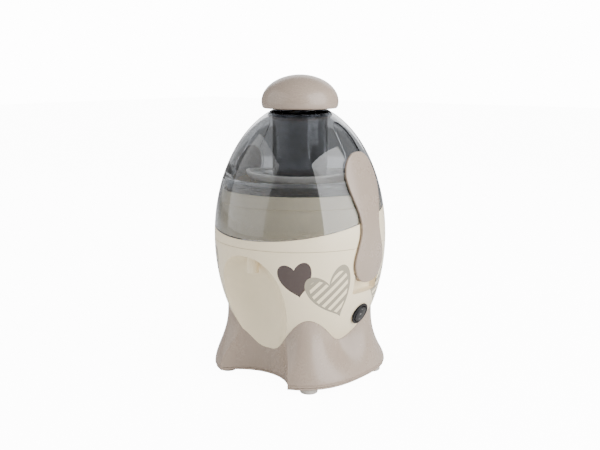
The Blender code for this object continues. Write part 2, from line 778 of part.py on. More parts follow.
def pusher():
    """The pusher: a cup-shaped stem with a flange, closed by the mushroom knob."""
    stem_r = TUBE_R - TUBE_WALL - SLIDE_GAP
    bore = stem_r - STEM_WALL
    base = LID_TOP_Z + KNOB_LIFT + 1.2 * MM
    flange_r = KNOB_R - 1.5 * KNOB_WALL
    flange_top = base + 2.4 * MM
    outline = [
        (bore, flange_top), (flange_r, flange_top), (flange_r, base), (stem_r, base),
        (stem_r, STEM_END_Z + 1 * MM), (stem_r - 1 * MM, STEM_END_Z), (0, STEM_END_Z)]
    inside = [(0, STEM_END_Z + STEM_WALL), (bore, STEM_END_Z + STEM_WALL)]
    stem = turned("pusher_stem", outline, steps=SEGMENTS)
    hollow = turned(
        "pusher_hollow", [(0, flange_top + 9 * MM), (bore, flange_top + 9 * MM)] + inside[::-1],
        CUTTERS, SEGMENTS)
    as_part(cut(stem, hollow), *SMOKE)

    def mushroom(radius, low, high, count):
        """A low dome over a rounded lower edge."""
        points = []
        waist = low + (high - low) * 0.2
        for i in range(count):
            turn = math.pi / 2 * i / (count - 1)
            points.append((radius * math.sin(turn), waist + (high - waist) * math.cos(turn)))
        points[0] = (0, high)
        points.append((radius * 0.985, low + (waist - low) * 0.35))
        points.append((radius * 0.95, low))
        return points

    top = base + KNOB_HEIGHT
    outline = mushroom(KNOB_R, base, top, 7)
    inner = mushroom(KNOB_R - KNOB_WALL, flange_top + GAP, top - KNOB_WALL, 6)
    mouth = flange_r + GAP
    inner = inner[:-2] + [(mouth, flange_top + 3 * MM)]
    knob = turned("pusher_knob", outline + [(mouth, base)] + inner[::-1], steps=36)
    as_part(knob, *TAUPE)


def basket():
    """The strainer basket: rim, sieve cone, floor with its hub, grater disc and nut."""
    floor_top = BASKET_FLOOR_Z + BASKET_FLOOR
    lip_low = BASKET_TOP_Z - BASKET_LIP
    rim = turned("basket_rim", [
        (BASKET_R - 4 * MM, BASKET_TOP_Z), (BASKET_R - 0.8 * MM, BASKET_TOP_Z),
        (BASKET_R, BASKET_TOP_Z - 1 * MM), (BASKET_R - 1.2 * MM, lip_low),
        (BASKET_R - 5.5 * MM, lip_low)], steps=SEGMENTS, closed=True)
    as_part(rim, (0.32, 0.31, 0.3), 0.4)
    high = lip_low - GAP
    low = BASKET_FLOOR_Z + GAP
    high_r = BASKET_R - 2.6 * MM
    sieve = turned("filter_mesh", [
        (high_r, high), (SIEVE_LOW_R, low), (SIEVE_LOW_R - SIEVE_WALL, low),
        (high_r - SIEVE_WALL, high)], steps=SEGMENTS, closed=True)
    as_part(sieve, *STEEL)
    inner = SIEVE_LOW_R - SIEVE_WALL - GAP
    socket_r = COUPLING_R + GAP
    socket_top = COUPLING_TOP_Z + GAP
    hub = turned("basket_hub", [
        (0, floor_top), (inner, floor_top), (inner, BASKET_FLOOR_Z), (socket_r + 3 * MM, BASKET_FLOOR_Z),
        (socket_r + 3 * MM, COUPLING_LOW_Z + 3 * MM), (socket_r, COUPLING_LOW_Z + 3 * MM),
        (socket_r, socket_top), (0, socket_top)], steps=SEGMENTS)
    as_part(hub, *BLACK)
    disc_low = floor_top + GAP
    disc = turned("grater_disc", [
        (4 * MM, disc_low + GRATER_THICK), (inner - 0.5 * MM, disc_low + GRATER_THICK),
        (inner - 0.5 * MM, disc_low), (4 * MM, disc_low)], steps=SEGMENTS, closed=True)
    as_part(disc, *STEEL)
    nut_low = disc_low + GRATER_THICK + GAP
    nut = turned("grater_nut", [
        (0, nut_low + 4.5 * MM), (3 * MM, nut_low + 4 * MM), (6.5 * MM, nut_low + 1.5 * MM),
        (6.5 * MM, nut_low), (0, nut_low)], steps=12)
    as_part(nut, *STEEL)


def rotor():
    """The turning half of the motor: shaft, core, windings, commutator, fan and coupling."""
    sleeve = SHAFT_R + GAP
    shaft = turned("motor_shaft", [
        (0, SHAFT_TOP_Z), (SHAFT_R - 0.5 * MM, SHAFT_TOP_Z), (SHAFT_R, SHAFT_TOP_Z - 0.5 * MM),
        (SHAFT_R, SHAFT_LOW_Z), (0, SHAFT_LOW_Z)], steps=16)
    as_part(shaft, *STEEL)
    top = STATOR_LOW_Z + STATOR_HEIGHT
    spool("rotor_core", STATOR_BORE_R - AIR_GAP, sleeve, STATOR_LOW_Z, top, STEEL)
    spool("lower_winding", WINDING_R, sleeve, STATOR_LOW_Z - GAP - WINDING_HEIGHT, STATOR_LOW_Z - GAP, COPPER)
    spool("upper_winding", WINDING_R, sleeve, top + GAP, top + GAP + WINDING_HEIGHT, COPPER)
    spool("commutator", COMMUTATOR_R, sleeve, COMMUTATOR_LOW_Z, COMMUTATOR_LOW_Z + COMMUTATOR_HEIGHT, COPPER)
    fan = spool("cooling_fan", FAN_R, sleeve, FAN_LOW_Z, FAN_LOW_Z + FAN_DISC, BLACK)
    for i in range(BLADES):
        blade = block(
            f"fan_blade_{i}", (8 * MM, -0.8 * MM, FAN_LOW_Z + FAN_DISC / 2),
            (FAN_R - 1.5 * MM, 0.8 * MM, FAN_LOW_Z + BLADE_HEIGHT), CUTTERS)
        blade.parent = turntable(math.tau * i / BLADES)
        join(fan, blade)
    coupling = turned("drive_coupling", [
        (0, COUPLING_TOP_Z), (COUPLING_R - 1 * MM, COUPLING_TOP_Z), (COUPLING_R, COUPLING_TOP_Z - 1 * MM),
        (COUPLING_R, COUPLING_LOW_Z), (sleeve, COUPLING_LOW_Z), (sleeve, SHAFT_TOP_Z + GAP),
        (0, SHAFT_TOP_Z + GAP)])
    as_part(coupling, *BLACK)


def turntable(turn):
    """An empty on the drive axis, turned by an angle."""
    empty = bpy.data.objects.new("turn", None)
    CUTTERS.objects.link(empty)
    empty.rotation_euler.z = turn
    return empty


def spool(name, outer, bore, low, high, look, steps=FINE):
    """A plain ring on the drive axis."""
    piece = turned(name, [(bore, high), (outer, high), (outer, low), (bore, low)], steps=steps, closed=True)
    return as_part(piece, *look)


def stator():
    """The laminated field stack, with two slots beside each pole, and its two coils."""
    top = STATOR_LOW_Z + STATOR_HEIGHT
    half = STATOR_HALF
    stack = block("stator_stack", (-half, -half, STATOR_LOW_Z), (half, half, top), round_edge=2.0 * MM)
    bore = rod("stator_bore", STATOR_BORE_R, 2 * STATOR_HEIGHT, CUTTERS)
    bore.location.z = STATOR_LOW_Z + STATOR_HEIGHT / 2
    cut(stack, bore)
    for side, sign in (("right", 1), ("left", -1)):
        low_x = COIL_X - COIL_WIDE / 2
        high_x = COIL_X + COIL_WIDE / 2
        spans = sorted((sign * low_x, sign * high_x))
        coil = block(
            side + "_field_coil", (spans[0], -COIL_OUT_HALF, STATOR_LOW_Z - COIL_OVERHANG),
            (spans[1], COIL_OUT_HALF, top + COIL_OVERHANG))
        window = block(
            side + "_coil_window", (spans[0] - GAP, -COIL_IN_HALF, STATOR_LOW_Z - GAP),
            (spans[1] + GAP, COIL_IN_HALF, top + GAP), CUTTERS)
        as_part(cut(coil, window), *COPPER)
        for end in (-1, 1):
            span_y = sorted((end * (COIL_IN_HALF - GAP), end * (COIL_OUT_HALF + GAP)))
            slot = block(
                f"{side}_slot_{end}", (spans[0] - GAP, span_y[0], STATOR_LOW_Z - GAP),
                (spans[1] + GAP, span_y[1], top + GAP), CUTTERS)
            cut(stack, slot)
    as_part(stack, *STEEL)


def bearings_and_brackets():
    """The two bearings in their bridge plates, hung from the deck on four rubber mounts."""
    for name, low in (("upper", UPPER_BEARING_Z), ("lower", LOWER_BEARING_Z)):
        spool(name + "_bearing", BEARING_R, SHAFT_R + PIN_RUN_GAP, low, low + BEARING_HEIGHT, STEEL)
        hold = BEARING_R + GAP
        collar = hold + BRACKET_COLLAR
        bracket = turned(name + "_bracket", [
            (hold, low + BEARING_HEIGHT), (collar, low + BEARING_HEIGHT), (collar, low + BRACKET_THICK),
            (BRACKET_R, low + BRACKET_THICK), (BRACKET_R, low), (hold, low)], steps=36, closed=True)
        as_part(bracket, *ALLOY)
    low = UPPER_BEARING_Z + BRACKET_THICK + GAP
    high = PARTING_Z - DECK - GAP
    for end, y in (("front", -MOUNT_REACH), ("rear", MOUNT_REACH)):
        for side, x in (("left", -MOUNT_REACH), ("right", MOUNT_REACH)):
            mount = rod(f"{end}_{side}_mount", MOUNT_R, high - low, steps=16)
            mount.location = (x, y, (low + high) / 2)
            as_part(mount, *RUBBER)
    seal = turned("shaft_seal", [
        (SHAFT_R + PIN_RUN_GAP, PARTING_Z), (SEAL_R, PARTING_Z), (SEAL_R, PARTING_Z - DECK),
        (SHAFT_R + PIN_RUN_GAP, PARTING_Z - DECK)], closed=True)
    as_part(seal, *RUBBER)


def brushes():
    """A carbon brush each side of the commutator, in its square holder."""
    middle = COMMUTATOR_LOW_Z + COMMUTATOR_HEIGHT / 2
    for side, frame in SIDES.items():
        start = COMMUTATOR_R + GAP
        half = BRUSH_HALF
        brush = block(
            side + "_brush", (start, -half, middle - half), (start + BRUSH_LENGTH, half, middle + half),
            parent=frame)
        as_part(brush, (0.05, 0.05, 0.05), 0.6)
        inner = half + GAP
        outer = inner + HOLDER_WALL
        begin = start + 2 * MM
        holder = block(
            side + "_brush_holder", (begin, -outer, middle - outer),
            (begin + HOLDER_LENGTH, outer, middle + outer), parent=frame)
        hollow = block(
            side + "_brush_hollow", (begin - MM, -inner, middle - inner),
            (begin + HOLDER_LENGTH + MM, inner, middle + inner), CUTTERS, parent=frame)
        as_part(cut(holder, hollow), (0.55, 0.42, 0.16), 0.35, 1.0)


def switch():
    """The round three-way rocker switch low on the right side."""
    outline = [
        (ROCKER_HOLE_R, BEZEL_FLANGE), (BEZEL_R - 0.8 * MM, BEZEL_FLANGE), (BEZEL_R, BEZEL_FLANGE - 0.8 * MM),
        (BEZEL_R, 0.9 * MM), (BARREL_R, 0.9 * MM), (BARREL_R, -BARREL_DEPTH), (0, -BARREL_DEPTH)]
    inside = [(0, -9 * MM), (ROCKER_HOLE_R, -9 * MM)]
    bezel = turned("switch_bezel", outline + inside, steps=36, closed=False)
    close_axis_profile(bezel)
    set_on_switch_axis(bezel, 0.0)
    as_part(bezel, *BLACK)
    above = 1.3 * MM
    rocker = turned("switch_rocker", [
        (0, above), (ROCKER_R - 0.4 * MM, above + 0.4 * MM), (ROCKER_R, above),
        (ROCKER_R - 1.6 * MM, -ROCKER_DEPTH), (0, -ROCKER_DEPTH)], steps=36)
    set_on_switch_axis(rocker, 0.6 * MM)
    as_part(rocker, *BLACK)


def close_axis_profile(thing):
    """Join the last point of a turned cup's outline to its first."""
    mesh = thing.data
    count = len(mesh.vertices)
    mesh.edges.add(1)
    mesh.edges[-1].vertices = (count - 1, 0)


def electrics():
    """The lid interlock, the terminal block and the cord gland."""
    interlock = block(
        "interlock_switch", (INTERLOCK_X - 8 * MM, -6 * MM, 103 * MM),
        (INTERLOCK_X + 8 * MM, 6 * MM, 117 * MM), round_edge=0.6 * MM)
    as_part(interlock, *BLACK)
    terminals = block(
        "terminal_block", (-14 * MM, 50 * MM, BASE_LOW_Z), (14 * MM, 62 * MM, BASE_LOW_Z + 9 * MM),
        round_edge=0.6 * MM)
    as_part(terminals, (0.6, 0.58, 0.52), 0.4)
    face = base_radius(math.pi, GLAND_Z)
    neck = GLAND_R - GLAND_LIP
    front = GLAND_LIP + 1.2 * MM
    back = -BASE_WALL - 1.6 * MM
    gland = turned("cord_gland", [
        (GLAND_BORE_R, front), (GLAND_R - 0.8 * MM, front), (GLAND_R, front - 0.8 * MM), (GLAND_R, 1.2 * MM),
        (neck, 1.2 * MM), (neck, back), (GLAND_BORE_R, back)], closed=True)
    gland.rotation_euler.x = -math.pi / 2
    gland.location = (0, face, GLAND_Z)
    as_part(gland, *BLACK)


latches()
housing()
base_skirt()
bottom_cover()
feet()
cover_screws()
bowl()
lid()
pusher()
basket()
rotor()
stator()
bearings_and_brackets()
brushes()
switch()
electrics()
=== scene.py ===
import math

import bmesh
import bpy
from mathutils import Matrix, Vector


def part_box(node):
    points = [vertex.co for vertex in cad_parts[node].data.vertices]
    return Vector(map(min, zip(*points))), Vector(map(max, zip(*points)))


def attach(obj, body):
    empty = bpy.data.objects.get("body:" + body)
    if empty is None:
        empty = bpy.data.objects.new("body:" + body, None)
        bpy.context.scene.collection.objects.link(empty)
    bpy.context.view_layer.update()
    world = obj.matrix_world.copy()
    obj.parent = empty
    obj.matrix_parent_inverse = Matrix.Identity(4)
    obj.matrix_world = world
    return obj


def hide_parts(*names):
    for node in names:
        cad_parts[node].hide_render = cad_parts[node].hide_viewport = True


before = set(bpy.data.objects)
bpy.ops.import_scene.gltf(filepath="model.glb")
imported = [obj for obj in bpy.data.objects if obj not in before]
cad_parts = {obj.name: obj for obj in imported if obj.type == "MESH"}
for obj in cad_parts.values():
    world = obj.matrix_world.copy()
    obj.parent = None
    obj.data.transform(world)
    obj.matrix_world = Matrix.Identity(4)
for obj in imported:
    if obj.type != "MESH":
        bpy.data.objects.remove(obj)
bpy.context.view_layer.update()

# ---------------------------------------------------------------------------
# Studio: a pale table top, a wide soft light on the left, the right and behind, and a white room.
# The camera stands a little above the lid, to the right of the front, looking slightly down.
# ---------------------------------------------------------------------------

camera_turn = math.radians(38.5)
camera_reach = 0.897
camera_height = 0.3187
camera_pitch = math.radians(10.36)

camera_data = bpy.data.cameras.new("camera")
camera_data.lens = 52.2
camera_data.clip_start = 0.05
camera = bpy.data.objects.new("camera", camera_data)
camera.location = (
    math.sin(camera_turn) * camera_reach, -math.cos(camera_turn) * camera_reach, camera_height)
camera.rotation_euler = (math.pi / 2 - camera_pitch, 0, camera_turn)
bpy.context.scene.collection.objects.link(camera)
bpy.context.scene.camera = camera


def softbox(name, turn, reach, height, wide, tall, power, aim=0.15):
    """A plain rectangular area light that faces the juicer."""
    lamp = bpy.data.lights.new(name, "AREA")
    lamp.shape = "RECTANGLE"
    lamp.size = wide
    lamp.size_y = tall
    lamp.energy = power
    light = bpy.data.objects.new(name, lamp)
    light.location = (math.sin(turn) * reach, -math.cos(turn) * reach, height)
    away = light.location - Vector((0, 0, aim))
    light.rotation_euler = away.to_track_quat("Z", "Y").to_euler()
    light.visible_camera = False
    bpy.context.scene.collection.objects.link(light)


softbox("left_panel", math.radians(-40), 1.35, 0.7, 1.9, 1.5, 14)
softbox("right_panel", math.radians(94), 1.3, 0.66, 1.4, 1.5, 42)
softbox("rear_panel", math.radians(215), 1.5, 0.9, 1.6, 1.0, 10)

room_light = 0.42
backdrop_light = 14
light_through_glass = 1.0
floor_light = 12.0
world = bpy.data.worlds.new("white_room")
bpy.context.scene.world = world
world.use_nodes = True
room = world.node_tree
room.nodes["Background"].inputs["Color"].default_value = (1, 1, 1, 1)
room.nodes["Background"].inputs["Strength"].default_value = room_light
backdrop = room.nodes.new("ShaderNodeBackground")
backdrop.inputs["Color"].default_value = (1, 1, 1, 1)
backdrop.inputs["Strength"].default_value = backdrop_light
seen = room.nodes.new("ShaderNodeLightPath")
blend = room.nodes.new("ShaderNodeMixShader")
room.links.new(seen.outputs["Is Camera Ray"], blend.inputs["Fac"])
room.links.new(room.nodes["Background"].outputs["Background"], blend.inputs[1])
room.links.new(backdrop.outputs["Background"], blend.inputs[2])
through = room.nodes.new("ShaderNodeBackground")
through.inputs["Color"].default_value = (1, 1, 1, 1)
through.inputs["Strength"].default_value = light_through_glass
glass_blend = room.nodes.new("ShaderNodeMixShader")
room.links.new(seen.outputs["Is Transmission Ray"], glass_blend.inputs["Fac"])
room.links.new(blend.outputs["Shader"], glass_blend.inputs[1])
room.links.new(through.outputs["Background"], glass_blend.inputs[2])
room.links.new(glass_blend.outputs["Shader"], room.nodes["World Output"].inputs["Surface"])

floor_bm = bmesh.new()
bmesh.ops.create_grid(floor_bm, x_segments=1, y_segments=1, size=6)
floor_mesh = bpy.data.meshes.new("table_top")
floor_bm.to_mesh(floor_mesh)
floor_bm.free()
floor = bpy.data.objects.new("table_top", floor_mesh)
bpy.context.scene.collection.objects.link(floor)
floor_paint = bpy.data.materials.new("table_white")
floor_paint.use_nodes = True
floor_shader = floor_paint.node_tree.nodes["Principled BSDF"]
floor_shader.inputs["Base Color"].default_value = (0.8, 0.8, 0.8, 1)
floor_shader.inputs["Roughness"].default_value = 0.6
floor_shader.inputs["Emission Color"].default_value = (1, 1, 1, 1)
floor_seen = floor_paint.node_tree.nodes.new("ShaderNodeLightPath")
floor_glow = floor_paint.node_tree.nodes.new("ShaderNodeMath")
floor_glow.operation = "MULTIPLY"
floor_glow.inputs[1].default_value = floor_light
floor_paint.node_tree.links.new(floor_seen.outputs["Is Camera Ray"], floor_glow.inputs[0])
floor_paint.node_tree.links.new(floor_glow.outputs["Value"], floor_shader.inputs["Emission Strength"])
floor_mesh.materials.append(floor_paint)

# ---------------------------------------------------------------------------
# Motor housing: the cream shell, moulded in glossy ABS with its deck, its bay wall and the two
# pockets for the latches.  Hearts are pad-printed on it in dark and light taupe ink.
# ---------------------------------------------------------------------------

MM = 0.001
egg_r = 0.0893
egg_mid = 0.145
egg_rise = 0.137
egg_drop = 0.139
parting_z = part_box("housing")[1][2]
housing_wall = 2.8 * MM
deck = 2.8 * MM
bay_r = 52.6 * MM
bay_y = -104.0 * MM
bay_spring = 57.0 * MM
bay_top = 138.0 * MM
cream = (0.95, 0.82, 0.58)
fine = 192


def egg_radius(height):
    reach = egg_rise if height > egg_mid else egg_drop
    return egg_r * math.sqrt(max(0.0, 1 - ((height - egg_mid) / reach) ** 2))


def boundary(angle):
    """Height of the wavy joint between housing and base, at an angle from the front."""
    turn = abs(math.remainder(angle, math.tau))
    front = math.radians(44)
    if turn < front:
        return (34 + 39 * ((1 - math.cos(math.pi * turn / front)) / 2) ** 1.7) * MM
    return (59.5 + 13.5 * math.cos(math.tau * (turn - front) / math.radians(68))) * MM


def spun(outline, closed=True, steps=fine):
    """Turn an outline of (radius, height) points about Z and close it into a smooth solid."""
    bm = bmesh.new()
    verts = [bm.verts.new((radius, 0, height)) for radius, height in outline]
    edges = [bm.edges.new(pair) for pair in zip(verts, verts[1:])]
    if closed:
        edges.append(bm.edges.new((verts[-1], verts[0])))
    bmesh.ops.spin(
        bm, geom=verts + edges, cent=(0, 0, 0), axis=(0, 0, 1), angle=math.tau, steps=steps,
        use_merge=True)
    bmesh.ops.remove_doubles(bm, verts=bm.verts, dist=1e-6)
    bmesh.ops.recalc_face_normals(bm, faces=bm.faces)
    return bm


def drum(radius, length, steps=48):
    """A cylinder along Z, centred on the origin."""
    bm = bmesh.new()
    bmesh.ops.create_cone(
        bm, cap_ends=True, segments=steps, radius1=radius, radius2=radius, depth=length)
    return bm


def brick(low, high):
    """A box between two corners."""
    bm = bmesh.new()
    bmesh.ops.create_cube(bm, size=1)
    size = [b - a for a, b in zip(low, high)]
    middle = [(a + b) / 2 for a, b in zip(low, high)]
    bmesh.ops.scale(bm, vec=size, verts=bm.verts)
    bmesh.ops.translate(bm, vec=middle, verts=bm.verts)
    return bm


def solid(name, bm):
    """An object at the origin from a finished bmesh."""
    mesh = bpy.data.meshes.new(name)
    bm.to_mesh(mesh)
    bm.free()
    thing = bpy.data.objects.new(name, mesh)
    bpy.context.scene.collection.objects.link(thing)
    return thing


def carve(target, operation, bm, careful=False):
    """Cut, join or trim a piece with another shape, and keep the result in its own mesh."""
    tool = solid("tool", bm)
    step = target.modifiers.new("carve", "BOOLEAN")
    step.operation = operation
    step.object = tool
    step.solver = "EXACT"
    step.use_self = careful
    shape = bpy.data.meshes.new_from_object(
        target.evaluated_get(bpy.context.evaluated_depsgraph_get()))
    target.modifiers.clear()
    target.data = shape
    bpy.data.objects.remove(tool, do_unlink=True)
    return target


def taken(thing):
    """A finished object's shape, off the shared seams by a hair, with the object itself gone."""
    bm = bmesh.new()
    bm.from_mesh(thing.data)
    bmesh.ops.rotate(bm, verts=bm.verts, cent=(0, 0, 0), matrix=Matrix.Rotation(0.0004, 3, "Z"))
    bpy.data.objects.remove(thing, do_unlink=True)
    return bm


def smooth(thing, degrees=32):
    """Shade a piece smooth, with crisp edges where its faces turn sharply."""
    thing.data.shade_smooth()
    thing.data.set_sharp_from_angle(angle=math.radians(degrees))
    return thing


def off_egg(angle, height, stand):
    """A point off the egg's face, square to it."""
    reach = egg_rise if height > egg_mid else egg_drop
    radius = egg_radius(height)
    out = radius / egg_r ** 2
    up = (height - egg_mid) / reach ** 2
    size = math.hypot(out, up)
    across = radius + stand * out / size
    return Vector((across * math.sin(angle), -across * math.cos(angle), height + stand * up / size))


def ear_half(height):
    """Half the latch's width at a height: round tail, waist, round head."""
    if height < 0.128:
        return 0.023 * math.sqrt(max(0.0, 1 - ((0.128 - height) / 0.021) ** 2))
    if height < 0.164:
        return 0.0145 + 0.0085 * (0.5 + 0.5 * math.cos(math.pi * (height - 0.128) / 0.036))
    if height < 0.209:
        return 0.0145 + 0.0095 * (0.5 - 0.5 * math.cos(math.pi * (height - 0.164) / 0.045))
    return 0.024 * math.sqrt(max(0.0, 1 - ((height - 0.209) / 0.026) ** 2))


def scoop_half(height):
    strip = 0.0
    if height > 0.209:
        strip = 0.013 * math.sqrt(max(0.0, 1 - ((height - 0.209) / 0.055) ** 4))
    return max(ear_half(min(max(height, 0.107), 0.235)) + 1.5 * MM, strip)


def wrapped(low, high, half, stand, thick, side, rows=80, columns=16):
    """A plate wrapped round the egg on one side, from its face at stand(height), thick outwards."""
    bm = bmesh.new()
    bmesh.ops.create_grid(bm, x_segments=columns, y_segments=rows, size=1.0)
    for vert in bm.verts:
        height = low + (high - low) * (0.5 + 0.5 * math.sin(vert.co.y * math.pi / 2))
        across = vert.co.x * half(height) / egg_radius(height)
        vert.co = off_egg(side * (math.pi / 2 + across), height, stand(height))
    bmesh.ops.recalc_face_normals(bm, faces=bm.faces)
    bm.normal_update()
    if next(iter(bm.faces)).normal.x * side > 0:
        bmesh.ops.reverse_faces(bm, faces=bm.faces)
    bmesh.ops.solidify(bm, geom=bm.faces[:], thickness=thick)
    bmesh.ops.recalc_face_normals(bm, faces=bm.faces)
    return bm


def scoop(side):
    """The shallow scoop that a latch lies in."""
    return wrapped(0.1055, 0.2638, scoop_half, lambda height: -1.5 * MM, 12 * MM, side, 60, 12)


def bay(extra=0.0):
    """The rounded niche for the cup."""
    outline = []
    for i in range(25):
        turn = math.pi / 2 * i / 24
        outline.append((
            (bay_r + extra) * max(0.0, math.sin(turn)) ** 0.8,
            bay_spring + (bay_top + extra - bay_spring) * max(0.0, math.cos(turn)) ** 0.8))
    outline += [(bay_r + extra, -0.01), (0, -0.01)]
    bm = spun(outline, closed=False, steps=144)
    bmesh.ops.rotate(bm, verts=bm.verts, cent=(0, 0, 0), matrix=Matrix.Rotation(0.011, 3, "Z"))
    bmesh.ops.translate(bm, vec=(0, bay_y, 0), verts=bm.verts)
    return bm


def wavy(outline, top, line, radius_at, even=0.0):
    """A spun solid with levels from 1 down to 0 stretched between two heights.

    The levels below 0.1 keep the same height all round where even is given.
    """
    bm = spun(outline, closed=True)
    for vert in bm.verts:
        angle = math.atan2(vert.co.x, -vert.co.y)
        share = vert.co.z
        inset = 1 - math.hypot(vert.co.x, vert.co.y)
        height = line(angle) + (top(angle) - line(angle)) * share
        if even:
            floor_part = min(share, 0.1) / 0.1 * even
            rise = (top(angle) - line(angle) - even) * max(share - 0.1, 0.0) / 0.9
            height = line(angle) + floor_part + rise
        radius = radius_at(angle, height, inset)
        vert.co = (radius * math.sin(angle), -radius * math.cos(angle), height)
    return bm


def housing_radius(angle, height, inset):
    return max(egg_radius(height) - inset, 0.0)


levels = [i / 28 for i in range(29)]
shell_outline = [(1.0, 1 - level) for level in levels]
shell_outline += [(1 - housing_wall, level) for level in levels]
bm = wavy(shell_outline, lambda angle: parting_z, boundary, housing_radius)
housing = solid("housing_shell", bm)
hole_r = 10.3 * MM
deck_edge = egg_radius(parting_z) - housing_wall / 2
carve(housing, "UNION", spun([
    (deck_edge, parting_z), (deck_edge, parting_z - deck), (hole_r, parting_z - deck), (hole_r,
    parting_z)]))
core_outline = [(1.0, 1 - level) for level in levels]
core_outline += [(0.96, 0.0), (0.9405, 0.0), (0.9405, 1.0)]


def core_radius(angle, height, inset):
    """Between the wall's middle and a small hole on the axis."""
    share = min(1.0, inset / 0.0595)
    return (egg_radius(height) - housing_wall / 2) * (1 - share) + 0.004 * share


inner = wavy(
    core_outline, lambda angle: parting_z - deck / 2, lambda angle: boundary(angle) + 0.1 * MM,
    core_radius)
wall_core = solid("bay_wall_core", bay(housing_wall))
sleeve = drum(9.1 * MM, 30 * MM)
bmesh.ops.translate(sleeve, vec=(0, -0.075, parting_z - 0.015), verts=sleeve.verts)
carve(wall_core, "UNION", sleeve)
for side in (1, -1):
    spans = sorted((side * 71.2 * MM, side * 92 * MM))
    carve(wall_core, "UNION", brick((spans[0], -0.0228, 0.0942), (spans[1], 0.0228, 0.1238)))
carve(wall_core, "INTERSECT", inner)
carve(housing, "UNION", taken(wall_core))
carve(housing, "DIFFERENCE", bay(), careful=True)
passage = drum(6.3 * MM, 60 * MM)
bmesh.ops.translate(passage, vec=(0, -0.075, parting_z), verts=passage.verts)
carve(housing, "DIFFERENCE", passage)
for side in (1, -1):
    carve(housing, "DIFFERENCE", scoop(side))
    spans = sorted((side * 74 * MM, side * 110 * MM))
    pocket = brick((spans[0], -0.020, 0.097), (spans[1], 0.020, 0.121))
    bmesh.ops.bevel(
        pocket, geom=pocket.edges[:], offset=2.5 * MM, affect="EDGES", segments=4, profile=0.5,
        material=-1)
    carve(housing, "DIFFERENCE", pocket)

switch_z = 73 * MM
switch_tilt = math.radians(21)
switch_face = Vector((egg_radius(switch_z), 0, switch_z))
switch_turn = Matrix.Rotation(math.pi / 2 + switch_tilt, 4, "Y")


def on_switch(bm):
    """Stand a shape on the switch's axis."""
    bmesh.ops.transform(bm, matrix=Matrix.Translation(switch_face) @ switch_turn, verts=bm.verts)
    return bm


carve(housing, "DIFFERENCE", on_switch(drum(10.3 * MM, 40 * MM, 72)))
smooth(housing)


def node(tree, kind, **values):
    """Add a node and set its plain properties."""
    made = tree.nodes.new(kind)
    for key, value in values.items():
        setattr(made, key, value)
    return made


def sums(tree, operation, *terms):
    """One Math node; each term is a number or a socket."""
    made = node(tree, "ShaderNodeMath", operation=operation)
    for slot, term in zip(made.inputs, terms):
        if isinstance(term, (int, float)):
            slot.default_value = term
        else:
            tree.links.new(term, slot)
    return made.outputs[0]


def moulded_skin():
    """Shared plastic surface: faint flow streaks, fine handling marks and a soft orange peel."""
    group = bpy.data.node_groups.new("moulded_skin", "ShaderNodeTree")
    face = group.interface
    face.new_socket("Gloss", in_out="INPUT", socket_type="NodeSocketFloat").default_value = 0.25
    face.new_socket("Spread", in_out="INPUT", socket_type="NodeSocketFloat").default_value = 0.08
    face.new_socket("Roughness", in_out="OUTPUT", socket_type="NodeSocketFloat")
    face.new_socket("Shade", in_out="OUTPUT", socket_type="NodeSocketFloat")
    face.new_socket("Normal", in_out="OUTPUT", socket_type="NodeSocketVector")
    start = node(group, "NodeGroupInput")
    end = node(group, "NodeGroupOutput")
    place = node(group, "ShaderNodeTexCoord")
    cloud = node(group, "ShaderNodeTexNoise")
    cloud.inputs["Scale"].default_value = 38
    cloud.inputs["Detail"].default_value = 5
    peel = node(group, "ShaderNodeTexNoise")
    peel.inputs["Scale"].default_value = 900
    peel.inputs["Detail"].default_value = 2
    marks = node(group, "ShaderNodeTexNoise")
    marks.inputs["Scale"].default_value = 240
    marks.inputs["Distortion"].default_value = 1.5
    for texture in (cloud, peel, marks):
        group.links.new(place.outputs["Object"], texture.inputs["Vector"])
    shift = sums(group, "SUBTRACT", cloud.outputs["Fac"], 0.5)
    fleck = sums(group, "SUBTRACT", marks.outputs["Fac"], 0.5)
    wander = sums(group, "MULTIPLY_ADD", fleck, 0.5, shift)
    rough = sums(group, "MULTIPLY_ADD", wander, start.outputs["Spread"], start.outputs["Gloss"])
    group.links.new(rough, end.inputs["Roughness"])
    group.links.new(sums(group, "MULTIPLY_ADD", shift, 0.08, 1.0), end.inputs["Shade"])
    bump = node(group, "ShaderNodeBump")
    bump.inputs["Strength"].default_value = 0.05
    bump.inputs["Distance"].default_value = 0.0002
    group.links.new(peel.outputs["Fac"], bump.inputs["Height"])
    group.links.new(bump.outputs["Normal"], end.inputs["Normal"])
    return group


skin_group = moulded_skin()


def plastic(name, colour, gloss=0.25, spread=0.08, coat=0.0):
    """Moulded plastic in one colour."""
    material = bpy.data.materials.new(name)
    material.use_nodes = True
    tree = material.node_tree
    shader = tree.nodes["Principled BSDF"]
    shader.inputs["IOR"].default_value = 1.5
    shader.inputs["Coat Weight"].default_value = coat
    shader.inputs["Coat Roughness"].default_value = 0.08
    skin = node(tree, "ShaderNodeGroup", node_tree=skin_group)
    skin.inputs["Gloss"].default_value = gloss
    skin.inputs["Spread"].default_value = spread
    tree.links.new(skin.outputs["Roughness"], shader.inputs["Roughness"])
    tree.links.new(skin.outputs["Normal"], shader.inputs["Normal"])
    tint = node(tree, "ShaderNodeMix", data_type="RGBA", blend_type="MULTIPLY")
    tint.inputs["Factor"].default_value = 1
    tint.inputs["A"].default_value = (*colour, 1)
    tree.links.new(skin.outputs["Shade"], tint.inputs["B"])
    tree.links.new(tint.outputs["Result"], shader.inputs["Base Color"])
    return material


